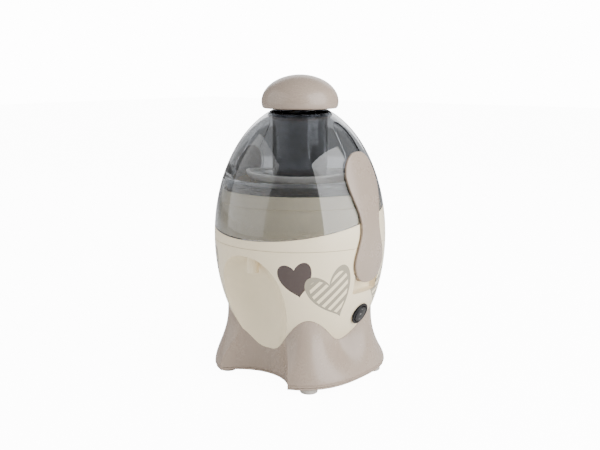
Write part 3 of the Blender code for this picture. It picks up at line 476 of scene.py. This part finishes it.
def heart_field(tree, along, height, heart, grown=1.0):
    """Below zero inside a heart, whose curve is (x2 + y2 - 1)3 = deep x2 y3 in its own units."""
    centre, wide, tall, turn, lean, deep = heart
    dx = sums(tree, "SUBTRACT", along, centre[0])
    dy = sums(tree, "SUBTRACT", height, centre[1])
    wide, tall = wide * grown, tall * grown
    cosine, sine = math.cos(turn), math.sin(turn)
    x = sums(tree, "MULTIPLY_ADD", dx, cosine / wide, sums(tree, "MULTIPLY", dy, sine / wide))
    y = sums(tree, "MULTIPLY_ADD", dy, cosine / tall, sums(tree, "MULTIPLY", dx, -sine / tall))
    y = sums(tree, "MULTIPLY_ADD", x, -lean, y)
    x2 = sums(tree, "MULTIPLY", x, x)
    y2 = sums(tree, "MULTIPLY", y, y)
    ball = sums(tree, "SUBTRACT", sums(tree, "ADD", x2, y2), 1.0)
    cube = sums(tree, "MULTIPLY", sums(tree, "MULTIPLY", ball, ball), ball)
    lobe = sums(tree, "MULTIPLY", sums(tree, "MULTIPLY", x2, deep), sums(tree, "MULTIPLY", y2, y))
    return sums(tree, "SUBTRACT", cube, lobe), x, y


def printed_hearts(tree, base):
    """The printed pattern: dark solid hearts and light hearts with an outline and slanted stripes."""
    place = node(tree, "ShaderNodeTexCoord")
    split = node(tree, "ShaderNodeSeparateXYZ")
    tree.links.new(place.outputs["Object"], split.inputs["Vector"])
    x, y, z = split.outputs
    angle = sums(tree, "ARCTAN2", x, sums(tree, "MULTIPLY", y, -1.0))
    level = sums(tree, "DIVIDE", sums(tree, "SUBTRACT", z, egg_mid), egg_drop)
    girth = sums(tree, "SQRT", sums(tree, "SUBTRACT", 1.0, sums(tree, "MULTIPLY", level, level)))
    along = sums(tree, "MULTIPLY", sums(tree, "MULTIPLY", angle, girth), egg_r)
    square = sums(tree, "ADD", sums(tree, "MULTIPLY", x, x), sums(tree, "MULTIPLY", y, y))
    reach = sums(tree, "SQRT", square)
    past_egg = sums(tree, "SUBTRACT", reach, sums(tree, "MULTIPLY", girth, egg_r))
    outside = sums(tree, "GREATER_THAN", past_egg, -1 * MM)
    dark = None
    light = None
    for centre_s, centre_z, turn, lean in (
            (0.055, 0.1124, 0.101, 0.048), (-0.122, 0.107, -0.12, -0.05), (0.207, 0.108, 0.1, 0.0)):
        heart = ((centre_s, centre_z), 0.01277, 0.014, turn, lean, 2.86)
        mask = sums(tree, "LESS_THAN", heart_field(tree, along, z, heart)[0], 0.0)
        dark = mask if dark is None else sums(tree, "MAXIMUM", dark, mask)
    for centre_s, centre_z, turn, lean in (
            (0.0904, 0.0923, 0.172, 0.134), (-0.076, 0.108, -0.12, 0.0), (0.159, 0.089, -0.1, -0.1),
            (-0.18, 0.094, 0.15, 0.1)):
        heart = ((centre_s, centre_z), 0.016, 0.0182, turn, lean, 5.7)
        field, across, up = heart_field(tree, along, z, heart)
        inner = heart_field(tree, along, z, heart, 0.84)[0]
        stripe_place = sums(tree, "MULTIPLY_ADD", across, -0.36, up)
        wave = sums(tree, "SINE", sums(tree, "MULTIPLY", stripe_place, 15.5))
        stripes = sums(tree, "GREATER_THAN", wave, -0.05)
        rim = sums(tree, "GREATER_THAN", inner, 0.0)
        mask = sums(tree, "MULTIPLY", sums(tree, "LESS_THAN", field, 0.0),
            sums(tree, "MAXIMUM", stripes, rim))
        light = mask if light is None else sums(tree, "MAXIMUM", light, mask)
    for mask, ink in ((dark, (0.075, 0.055, 0.05, 1)), (light, (0.36, 0.32, 0.24, 1))):
        mix = node(tree, "ShaderNodeMix", data_type="RGBA")
        tree.links.new(sums(tree, "MULTIPLY", mask, outside), mix.inputs["Factor"])
        tree.links.new(base, mix.inputs["A"])
        mix.inputs["B"].default_value = ink
        base = mix.outputs["Result"]
    return base


cream_skin = plastic("cream_abs", cream, 0.22)
printed_skin = plastic("cream_abs_printed", cream, 0.22)
printed_tree = printed_skin.node_tree
printed_base = printed_tree.nodes["Principled BSDF"].inputs["Base Color"]
printed_tree.links.new(
    printed_hearts(printed_tree, printed_base.links[0].from_socket), printed_base)
housing.data.materials.clear()
housing.data.materials.append(printed_skin)
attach(housing, "base")
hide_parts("housing")

# ---------------------------------------------------------------------------
# Flared base: the taupe ABS foot of the body, moulded to follow the housing's wavy edge.
# It is screwed to the bottom cover, and the cup bay runs down through it.
# ---------------------------------------------------------------------------

taupe = (0.38, 0.3, 0.24)
base_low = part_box("base_skirt")[0][2]
base_wall = 3.0 * MM


def base_radius(angle, height):
    """From the egg at the wavy line out to a softly squared footprint."""
    line = boundary(angle)
    crest = max(0.0, (line - 46 * MM) / (27 * MM))
    fall = min(1.0, max(0.0, (line - height) / (line - base_low))) ** (0.9 + 0.45 * crest)
    share = fall * fall * (3 - 2 * fall)
    waist = egg_radius(line)
    return waist + ((87 - 4 * math.cos(4 * angle)) * MM - waist) * share


def skirt_radius(angle, height, inset):
    return base_radius(angle, height) - inset


def skirt_core_radius(angle, height, inset):
    share = min(1.0, inset / 0.0595)
    return (base_radius(angle, height) - base_wall / 2) * (1 - share) + 0.004 * share


skirt_outline = [(1.0, 1 - level) for level in levels if level < 0.9]
skirt_outline += [(1.0, 0.07), (1 - 0.6 * MM, 0.06), (1 - 0.6 * MM, 0.045), (1.0, 0.035), (1.0, 0.01)]
skirt_outline += [(1 - 0.5 * MM, 0.0)]
skirt_outline += [(1 - base_wall, level) for level in levels]
base = solid("flared_base", wavy(
    skirt_outline, lambda angle: boundary(angle) - 0.3 * MM, lambda angle: base_low, skirt_radius,
    4 * MM))
core_outline = [(0.9405, 1.0), (0.96, 1.0)] + [(1.0, 1 - level) for level in levels] + [(0.9405, 0.0)]
skirt_inner = wavy(
    core_outline, lambda angle: boundary(angle) - 0.4 * MM, lambda angle: base_low + 0.1 * MM,
    skirt_core_radius)
wall_core = solid("bay_wall_core", bay(base_wall))
carve(wall_core, "INTERSECT", skirt_inner)
carve(base, "UNION", taken(wall_core))
carve(base, "DIFFERENCE", bay(), careful=True)
smooth(base)
taupe_skin = plastic("taupe_abs", taupe, 0.27, 0.1)
base.data.materials.clear()
base.data.materials.append(taupe_skin)
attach(base, "base")
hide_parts("base_skirt")


def clad(name, material):
    """Give a carried-over node its finish."""
    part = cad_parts[name]
    for slot in part.material_slots:
        slot.material = material
    if not part.material_slots:
        part.data.materials.append(material)


clad("bottom_cover", taupe_skin)

# ---------------------------------------------------------------------------
# Feet: four soft off-white rubber pads, pressed into the bottom cover.
# ---------------------------------------------------------------------------

foot_skin = plastic("foot_rubber", (0.56, 0.53, 0.48), 0.55, 0.2)
for name in ("front_left", "front_right", "rear_left", "rear_right"):
    low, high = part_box(name + "_foot")
    radius = (high[0] - low[0]) / 2
    tall = high[2]
    rim = [(0, tall), (radius, tall), (radius, 1.6 * MM)]
    for i in range(1, 7):
        turn = math.pi / 2 * i / 6
        rim.append((radius - 1.6 * MM * (1 - math.cos(turn)), 1.6 * MM * (1 - math.sin(turn))))
    bm = spun(rim + [(0, 0)], closed=False, steps=64)
    bmesh.ops.translate(bm, vec=((low[0] + high[0]) / 2, (low[1] + high[1]) / 2, 0), verts=bm.verts)
    foot = smooth(solid(name + "_pad", bm))
    foot.data.materials.append(foot_skin)
    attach(foot, "base")
    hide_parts(name + "_foot")

# ---------------------------------------------------------------------------
# Juice bowl: cream ABS, its flush band showing between housing and lid and its wall rising inside
# the lid.  The tower in the middle clears the drive, and the spout drops through the bay's ceiling.
# ---------------------------------------------------------------------------

seat = parting_z + 0.3 * MM
bowl_floor = seat + 2.8 * MM
rim_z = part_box("bowl")[1][2]
lid_wall = 2.4 * MM
bowl_inset = lid_wall + 0.4 * MM
bowl_wall = 2.4 * MM
lid_edge_z = 171.0 * MM
lid_tilt = math.radians(11.5)


def arc_down(high, low, count, inset):
    """Points down the egg's side between two heights."""
    heights = [high + (low - high) * i / (count - 1) for i in range(count)]
    return [(egg_radius(height) - inset, height) for height in heights]


def under_lid_edge(drop):
    """Everything below the lid's slanted edge."""
    bm = brick((-0.2, -0.2, -0.3), (0.2, 0.2, 0))
    bmesh.ops.rotate(bm, verts=bm.verts, cent=(0, 0, 0), matrix=Matrix.Rotation(lid_tilt, 3, "X"))
    bmesh.ops.translate(bm, vec=(0, 0, lid_edge_z - drop), verts=bm.verts)
    return bm


line_z = rim_z - 12.3 * MM
outline = arc_down(rim_z - 0.6 * MM, line_z + 0.35 * MM, 6, bowl_inset)
outline += [(egg_radius(line_z) - bowl_inset - 0.5 * MM, line_z)]
outline += arc_down(line_z - 0.35 * MM, seat, 14, bowl_inset)
outline += [(33.2 * MM, seat), (27.1 * MM, 160.2 * MM), (16 * MM, 160.2 * MM), (16 * MM, 162.6 * MM)]
outline += [(16.4 * MM, 163 * MM), (28.5 * MM, 163 * MM), (29.5 * MM, 162.3 * MM), (34.6 * MM, 150 * MM)]
outline += [(37 * MM, 147.8 * MM), (40 * MM, bowl_floor)]
outline += [(egg_radius(bowl_floor) - bowl_inset - bowl_wall - 6 * MM, bowl_floor)]
outline += arc_down(bowl_floor + 5 * MM, rim_z - 0.6 * MM, 16, bowl_inset + bowl_wall)
outline += [(egg_radius(rim_z) - bowl_inset - bowl_wall + 0.5 * MM, rim_z),
    (egg_radius(rim_z) - bowl_inset - 0.5 * MM, rim_z)]
bowl = solid("juice_bowl", spun(outline))
band = solid("band", spun(
    arc_down(0.1935, seat + 0.1 * MM, 20, 0) + arc_down(seat + 0.1 * MM, 0.1935, 20,
        bowl_inset + 1.2 * MM)))
carve(band, "INTERSECT", under_lid_edge(0.4 * MM))
carve(bowl, "UNION", taken(band))
spout = drum(6 * MM, bowl_floor - 1 * MM - 118 * MM, 64)
bmesh.ops.translate(spout, vec=(0, -0.075, (bowl_floor - 1 * MM + 118 * MM) / 2), verts=spout.verts)
carve(bowl, "UNION", spout)
bore = drum(4.2 * MM, 80 * MM, 64)
bmesh.ops.translate(bore, vec=(0, -0.075, 0.118), verts=bore.verts)
carve(bowl, "DIFFERENCE", bore)
for side in (1, -1):
    carve(bowl, "DIFFERENCE", scoop(side))
smooth(bowl)
bowl.data.materials.clear()
bowl.data.materials.append(cream_skin)
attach(bowl, "base")
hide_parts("bowl")

# ---------------------------------------------------------------------------
# Lid: one smoke-grey clear polycarbonate moulding.  The dome, its sealing ring and the feed tube are
# one piece, with a shallow scoop each side for the latch.
# ---------------------------------------------------------------------------

lid_top = 273.6 * MM
tube_r = 28.4 * MM
tube_bore = 26.2 * MM
tube_end = 190 * MM


def dome(high, low, count, inset=0.0):
    """Points over the dome, evenly turned, on a shell the inset further in."""
    rise = egg_rise - inset
    first, last = (math.asin((height - egg_mid) / rise) for height in (high, low))
    turns = [first + (last - first) * i / (count - 1) for i in range(count)]
    return [((egg_r - inset) * math.cos(turn), egg_mid + rise * math.sin(turn)) for turn in turns]


def under_dome(radius):
    """Height of the dome's inner face at a radius."""
    return egg_mid + (egg_rise - lid_wall) * math.sqrt(1 - (radius / (egg_r - lid_wall)) ** 2)


outline = [(tube_bore, 273.6 * MM), (tube_bore + 0.4 * MM, 274.4 * MM),
    (tube_bore + 1.2 * MM, 274.8 * MM)]
outline += [(28.6 * MM, 274.8 * MM), (29.6 * MM, 274.5 * MM)]
outline += dome(lid_top - 0.4 * MM, 0.146, 48)
outline += dome(under_dome(0.0775), 0.146, 20, lid_wall)[::-1]
outline += [(76.2 * MM, 207.5 * MM), (76 * MM, 205 * MM), (76 * MM, 190.5 * MM), (75.5 * MM, 190 * MM)]
outline += [(74.3 * MM, 190 * MM), (73.8 * MM, 190.5 * MM), (73.8 * MM, 208 * MM),
    (73.4 * MM, 212.5 * MM)]
outline += dome(under_dome(0.0305), under_dome(0.0725), 24, lid_wall)[::-1]
outline += [(29.2 * MM, 270.2 * MM), (28.5 * MM, 268.4 * MM), (tube_r, 266 * MM),
    (tube_r, tube_end + 0.6 * MM)]
outline += [(tube_r - 0.6 * MM, tube_end), (tube_bore + 0.6 * MM, tube_end),
    (tube_bore, tube_end + 0.6 * MM)]
lid = solid("clear_lid", spun(outline))
carve(lid, "DIFFERENCE", under_lid_edge(0.0))
for side in (1, -1):
    carve(lid, "DIFFERENCE", scoop(side))
smooth(lid, 28)


def smoke(name, colour):
    """Clear tinted polycarbonate with faint handling marks."""
    material = bpy.data.materials.new(name)
    material.use_nodes = True
    tree = material.node_tree
    shader = tree.nodes["Principled BSDF"]
    shader.inputs["Transmission Weight"].default_value = 1.0
    shader.inputs["IOR"].default_value = 1.46
    skin = node(tree, "ShaderNodeGroup", node_tree=skin_group)
    skin.inputs["Gloss"].default_value = 0.03
    skin.inputs["Spread"].default_value = 0.03
    tree.links.new(skin.outputs["Roughness"], shader.inputs["Roughness"])
    tint = node(tree, "ShaderNodeMix", data_type="RGBA", blend_type="MULTIPLY")
    tint.inputs["Factor"].default_value = 1
    tint.inputs["A"].default_value = (*colour, 1)
    tree.links.new(skin.outputs["Shade"], tint.inputs["B"])
    tree.links.new(tint.outputs["Result"], shader.inputs["Base Color"])
    return material


lid.data.materials.clear()
lid.data.materials.append(smoke("smoke_clear", (0.58, 0.595, 0.615)))
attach(lid, "lid")
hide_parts("lid")

# ---------------------------------------------------------------------------
# Pusher: a cup-shaped smoke stem that slides in the feed tube, closed by a taupe mushroom knob that
# snaps over its flange.
# ---------------------------------------------------------------------------

stem_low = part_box("pusher_stem")[0][2]
stem_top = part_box("pusher_stem")[1][2]
stem_r = tube_bore - 0.6 * MM
stem_bore = stem_r - 1.8 * MM
flange_r = (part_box("pusher_stem")[1][0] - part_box("pusher_stem")[0][0]) / 2
outline = [(0, stem_low + 1.8 * MM), (stem_bore - 1 * MM, stem_low + 1.8 * MM)]
outline += [(stem_bore, stem_low + 2.8 * MM), (stem_bore, stem_top), (flange_r - 0.4 * MM, stem_top)]
outline += [(flange_r, stem_top - 0.4 * MM), (flange_r, stem_top - 2.4 * MM)]
outline += [(stem_r + 1.5 * MM, stem_top - 2.4 * MM), (stem_r, stem_top - 3.6 * MM),
    (stem_r, stem_low + 2 * MM)]
outline += [(stem_r - 0.6 * MM, stem_low + 0.6 * MM), (stem_r - 2 * MM, stem_low), (0, stem_low)]
stem = smooth(solid("pusher_cup", spun(outline, closed=False)))
stem.data.materials.append(smoke("smoke_clear_stem", (0.5, 0.505, 0.55)))
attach(stem, "pusher")
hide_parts("pusher_stem")

knob_low, knob_high = (corner[2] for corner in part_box("pusher_knob"))
knob_r = (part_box("pusher_knob")[1][0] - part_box("pusher_knob")[0][0]) / 2
waist = knob_low + (knob_high - knob_low) * 0.2
outline = []
for i in range(41):
    turn = math.pi / 2 * i / 40
    outline.append((knob_r * math.sin(turn), waist + (knob_high - waist) * math.cos(turn)))
for i in range(1, 13):
    turn = math.pi / 2 * i / 12
    outline.append((
        knob_r - 2.6 * MM * (1 - math.cos(turn)), waist - (waist - knob_low) * math.sin(turn)))
mouth = flange_r + 0.3 * MM
outline += [(mouth + 0.5 * MM, knob_low), (mouth, knob_low + 0.5 * MM), (mouth, stem_top + 3 * MM)]
for i in range(17):
    turn = math.pi / 2 * (1 - i / 16)
    top = knob_high - 2.8 * MM
    foot_z = stem_top + 7 * MM
    outline.append(((knob_r - 2.8 * MM) * math.sin(turn), foot_z + (top - foot_z) * math.cos(turn)))
knob = smooth(solid("mushroom_knob", spun(outline, closed=False)), 40)
knob.data.materials.append(taupe_skin)
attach(knob, "pusher")
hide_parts("pusher_knob")

# ---------------------------------------------------------------------------
# Latches: two taupe ear-shaped levers with rounded edges, each turning on a steel pin in a pocket of
# the housing and hugging the dome so that the lid stays down.
# ---------------------------------------------------------------------------


def ear_stand(height):
    """How far the latch's outer face stands off the egg."""
    if height < 0.128:
        return 2.6 * MM - 1.3 * MM * ((0.128 - height) / 0.021) ** 2
    if height < 0.209:
        return 2.6 * MM
    return 2.6 * MM + 2.6 * MM * ((height - 0.209) / 0.026) ** 2


def ear_plate(side):
    """The lever's curved plate: a grid drawn out to the ear's outline, thickened, its rim rounded."""
    bm = bmesh.new()
    bmesh.ops.create_grid(bm, x_segments=12, y_segments=44, size=1.0)
    for vert in bm.verts:
        u, v = vert.co.x, vert.co.y
        along = max(-0.9995, min(0.9995, v * math.sqrt(1 - u * u / 2)))
        share = u * math.sqrt(1 - v * v / 2) / math.sqrt(1 - along * along)
        height = 0.171 + 0.0636 * along
        across = max(-1.0, min(1.0, share)) * ear_half(height) / egg_radius(height)
        vert.co = off_egg(side * (math.pi / 2 + across), height, ear_stand(height) - 3.2 * MM)
    bmesh.ops.recalc_face_normals(bm, faces=bm.faces)
    bm.normal_update()
    if next(iter(bm.faces)).normal.x * side > 0:
        bmesh.ops.reverse_faces(bm, faces=bm.faces)
    bmesh.ops.solidify(bm, geom=bm.faces[:], thickness=3.2 * MM)
    bmesh.ops.recalc_face_normals(bm, faces=bm.faces)
    rim = [edge for edge in bm.edges if edge.calc_face_angle() > 1.0]
    bmesh.ops.bevel(bm, geom=rim, offset=0.9 * MM, affect="EDGES", segments=3, profile=0.5, material=-1)
    return bm


pivot_x = 81.5 * MM
pivot_z = 114 * MM
for side, name in ((1, "right"), (-1, "left")):
    bm = ear_plate(side)
    lever = solid(name + "_ear_lever", bm)
    rounding = lever.modifiers.new("rounding", "SUBSURF")
    rounding.levels = 1
    rounding.render_levels = 1
    lug = drum(5.4 * MM, 18 * MM, 64)
    bmesh.ops.rotate(lug, verts=lug.verts, cent=(0, 0, 0), matrix=Matrix.Rotation(math.pi / 2, 3, "X"))
    bmesh.ops.translate(lug, vec=(side * pivot_x, 0, pivot_z), verts=lug.verts)
    carve(lever, "UNION", lug)
    eye = drum(1.6 * MM, 60 * MM, 48)
    bmesh.ops.rotate(eye, verts=eye.verts, cent=(0, 0, 0), matrix=Matrix.Rotation(math.pi / 2, 3, "X"))
    bmesh.ops.translate(eye, vec=(side * pivot_x, 0, pivot_z), verts=eye.verts)
    carve(lever, "DIFFERENCE", eye)
    smooth(lever, 40)
    lever.data.materials.clear()
    lever.data.materials.append(taupe_skin)
    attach(lever, name + "_latch")
    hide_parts(name + "_latch")

# ---------------------------------------------------------------------------
# Strainer basket: a pale grey moulded rim, a steel sieve cone with fine holes painted on as near-black
# dots of painted shade, a black hub and a toothed steel grating disc held by a domed nut.
# ---------------------------------------------------------------------------

rim_low, rim_high = (corner[2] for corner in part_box("basket_rim"))
rim_r = (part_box("basket_rim")[1][0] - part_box("basket_rim")[0][0]) / 2
outline = [(rim_r - 4 * MM, rim_high - 0.4 * MM), (rim_r - 3.5 * MM, rim_high),
    (rim_r - 1 * MM, rim_high)]
outline += [(rim_r - 0.3 * MM, rim_high - 0.3 * MM), (rim_r, rim_high - 1 * MM),
    (rim_r - 1 * MM, rim_low + 0.5 * MM)]
outline += [(rim_r - 1.4 * MM, rim_low), (rim_r - 5.2 * MM, rim_low),
    (rim_r - 5.5 * MM, rim_low + 0.4 * MM)]
rim = smooth(solid("basket_collar", spun(outline)))
rim_skin = plastic("collar_grey", (0.7, 0.67, 0.62), 0.35)
rim.data.materials.append(rim_skin)
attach(rim, "rotor")
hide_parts("basket_rim")


def metal(name, colour, rough, grain=(1.0, 1.0, 40.0), bump=0.15):
    """Bare metal with drawn or turned grain along one direction."""
    material = bpy.data.materials.new(name)
    material.use_nodes = True
    tree = material.node_tree
    shader = tree.nodes["Principled BSDF"]
    shader.inputs["Metallic"].default_value = 1.0
    place = node(tree, "ShaderNodeTexCoord")
    stretch = node(tree, "ShaderNodeMapping")
    stretch.inputs["Scale"].default_value = grain
    streak = node(tree, "ShaderNodeTexNoise")
    streak.inputs["Scale"].default_value = 45
    streak.inputs["Detail"].default_value = 6
    tree.links.new(place.outputs["Object"], stretch.inputs["Vector"])
    tree.links.new(stretch.outputs["Vector"], streak.inputs["Vector"])
    shift = sums(tree, "SUBTRACT", streak.outputs["Fac"], 0.5)
    tree.links.new(sums(tree, "MULTIPLY_ADD", shift, 0.25, rough), shader.inputs["Roughness"])
    tint = node(tree, "ShaderNodeMix", data_type="RGBA", blend_type="MULTIPLY")
    tint.inputs["Factor"].default_value = 1
    tint.inputs["A"].default_value = (*colour, 1)
    tree.links.new(sums(tree, "MULTIPLY_ADD", shift, 0.2, 1.0), tint.inputs["B"])
    tree.links.new(tint.outputs["Result"], shader.inputs["Base Color"])
    lift = node(tree, "ShaderNodeBump")
    lift.inputs["Strength"].default_value = bump
    lift.inputs["Distance"].default_value = 0.0001
    tree.links.new(streak.outputs["Fac"], lift.inputs["Height"])
    tree.links.new(lift.outputs["Normal"], shader.inputs["Normal"])
    return material


steel = metal("turned_steel", (0.62, 0.62, 0.61), 0.3)
laminations = metal("stacked_laminations", (0.36, 0.36, 0.37), 0.45, (1, 1, 220), 0.6)
winding = metal("wound_copper", (0.62, 0.27, 0.12), 0.35, (1, 1, 160), 0.7)
casting = metal("cast_alloy", (0.66, 0.67, 0.69), 0.45, (1, 1, 1), 0.3)
brass = metal("brass_tube", (0.68, 0.5, 0.2), 0.32)
black_skin = plastic("black_nylon", (0.01, 0.01, 0.011), 0.3, 0.12)
black_skin.node_tree.nodes["Principled BSDF"].inputs["Specular IOR Level"].default_value = 0.25
rubber_skin = plastic("black_rubber", (0.03, 0.03, 0.03), 0.75, 0.2)
ivory_skin = plastic("ivory_bakelite", (0.62, 0.58, 0.5), 0.4)
carbon_skin = plastic("pressed_carbon", (0.04, 0.04, 0.042), 0.6, 0.2)
for name in ("motor_shaft", "upper_bearing", "lower_bearing", "left_latch_pin", "right_latch_pin",
    "grater_nut"):
    clad(name, steel)
for name in ("front_left", "front_right", "rear_left", "rear_right"):
    clad(name + "_cover_screw", steel)
    clad(name + "_mount", rubber_skin)
for name in ("stator_stack", "rotor_core"):
    clad(name, laminations)
for name in ("left_field_coil", "right_field_coil", "upper_winding", "lower_winding", "commutator"):
    clad(name, winding)
for name in ("upper_bracket", "lower_bracket"):
    clad(name, casting)
for side in ("left", "right"):
    clad(side + "_brush_holder", brass)
    clad(side + "_brush", carbon_skin)
for name in ("basket_hub", "drive_coupling", "cooling_fan", "interlock_switch", "cord_gland"):
    clad(name, black_skin)
clad("shaft_seal", rubber_skin)
clad("terminal_block", ivory_skin)

sieve_low, sieve_high = (corner[2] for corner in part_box("filter_mesh"))
sieve_r = (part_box("filter_mesh")[1][0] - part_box("filter_mesh")[0][0]) / 2
sieve = smooth(solid("sieve_cone", spun([
    (sieve_r, sieve_high), (47 * MM, sieve_low), (46.2 * MM, sieve_low), (sieve_r - 0.8 * MM,
    sieve_high)])))
sieve_skin = metal("perforated_steel", (0.66, 0.66, 0.65), 0.28)
tree = sieve_skin.node_tree
place = node(tree, "ShaderNodeTexCoord")
split = node(tree, "ShaderNodeSeparateXYZ")
tree.links.new(place.outputs["Object"], split.inputs["Vector"])
turn = sums(tree, "MULTIPLY", sums(tree, "ARCTAN2", split.outputs["X"], split.outputs["Y"]),
    180 / math.tau * 2)
rise = sums(tree, "MULTIPLY", split.outputs["Z"], 620)
across = sums(tree, "SINE", sums(tree, "MULTIPLY", turn, math.tau / 2))
up = sums(tree, "SINE", sums(tree, "MULTIPLY", rise, math.tau / 2))
# The fine holes are not cut: a near-black dot is painted on the solid cone at each one, painted shade
# standing in for the dark seen through the hole.
hole = sums(tree, "GREATER_THAN", sums(tree, "MULTIPLY", across, up), 0.45)
dark = node(tree, "ShaderNodeMix", data_type="RGBA")
dark.inputs["B"].default_value = (0.03, 0.03, 0.03, 1)
shader = tree.nodes["Principled BSDF"]
tree.links.new(hole, dark.inputs["Factor"])
tree.links.new(shader.inputs["Base Color"].links[0].from_socket, dark.inputs["A"])
tree.links.new(dark.outputs["Result"], shader.inputs["Base Color"])
sieve.data.materials.append(sieve_skin)
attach(sieve, "rotor")
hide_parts("filter_mesh")

disc_low, disc_high = (corner[2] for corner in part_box("grater_disc"))
disc_r = (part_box("grater_disc")[1][0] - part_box("grater_disc")[0][0]) / 2
bm = spun([(4 * MM, disc_high), (disc_r, disc_high), (disc_r, disc_low), (4 * MM, disc_low)], steps=96)
for ring in range(7):
    reach = (11 + ring * 5) * MM
    count = int(math.tau * reach / (5.2 * MM))
    for i in range(count):
        tooth = bmesh.ops.create_cone(
            bm, cap_ends=True, segments=4, radius1=1.1 * MM, radius2=0.05 * MM, depth=1.3 * MM)["verts"]
        around = math.tau * (i + 0.5 * (ring % 2)) / count
        spot = (reach * math.cos(around), reach * math.sin(around), disc_high + 0.6 * MM)
        bmesh.ops.rotate(bm, verts=tooth, cent=(0, 0, 0), matrix=Matrix.Rotation(around, 3, "Z"))
        bmesh.ops.translate(bm, vec=spot, verts=tooth)
disc = solid("grating_disc", bm)
disc.data.materials.append(steel)
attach(disc, "rotor")
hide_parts("grater_disc")

# ---------------------------------------------------------------------------
# Switch: a black nylon bezel snapped into the housing and a rocker with its three small printed
# positions, I, 0 and II.
# ---------------------------------------------------------------------------

bezel_r = 11.65 * MM
hole = 9.1 * MM
outline = [(0, -9 * MM), (hole, -9 * MM), (hole, 1.4 * MM), (hole + 0.6 * MM, 2 * MM)]
outline += [(bezel_r - 1 * MM, 2 * MM), (bezel_r - 0.3 * MM, 1.7 * MM), (bezel_r, 1.1 * MM)]
outline += [(bezel_r, 0.6 * MM), (10 * MM, 0.6 * MM), (10 * MM, -15 * MM), (0, -15 * MM)]
bezel = smooth(solid("switch_ring", on_switch(spun(outline, closed=False, steps=96))))
bezel.data.materials.append(black_skin)
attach(bezel, "base")
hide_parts("switch_bezel")

rocker_r = 8.3 * MM
outline = [(0, 1.9 * MM), (rocker_r - 0.8 * MM, 2.3 * MM), (rocker_r - 0.2 * MM, 2.1 * MM),
    (rocker_r, 1.7 * MM)]
outline += [(rocker_r - 1.6 * MM, -4.9 * MM), (0, -4.9 * MM)]
rocker = smooth(solid("switch_paddle", on_switch(spun(outline, closed=False, steps=96))))
rocker.data.materials.append(black_skin)
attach(rocker, "rocker")
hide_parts("switch_rocker")

mark_z = 2.2 * MM
marks = brick((5 * MM, -0.2 * MM, mark_z - 0.2 * MM), (6.6 * MM, 0.2 * MM, mark_z + 0.02 * MM))
for offset in (-0.6, 0.6):
    bar = brick(
        (-6.6 * MM, (offset - 0.2) * MM, mark_z - 0.2 * MM),
        (-5 * MM, (offset + 0.2) * MM, mark_z + 0.02 * MM))
    stroke = bpy.data.meshes.new("stroke")
    bar.to_mesh(stroke)
    bar.free()
    marks.from_mesh(stroke)
zero = spun([(1.0 * MM, 0), (1.0 * MM, 1.99 * MM), (0.65 * MM, 1.99 * MM), (0.65 * MM, 0)], steps=40)
stroke = bpy.data.meshes.new("stroke")
zero.to_mesh(stroke)
zero.free()
marks.from_mesh(stroke)
printed = solid("switch_marks", on_switch(marks))
mark_skin = plastic("mark_grey", (0.42, 0.42, 0.41), 0.5)
printed.data.materials.append(mark_skin)
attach(printed, "rocker")
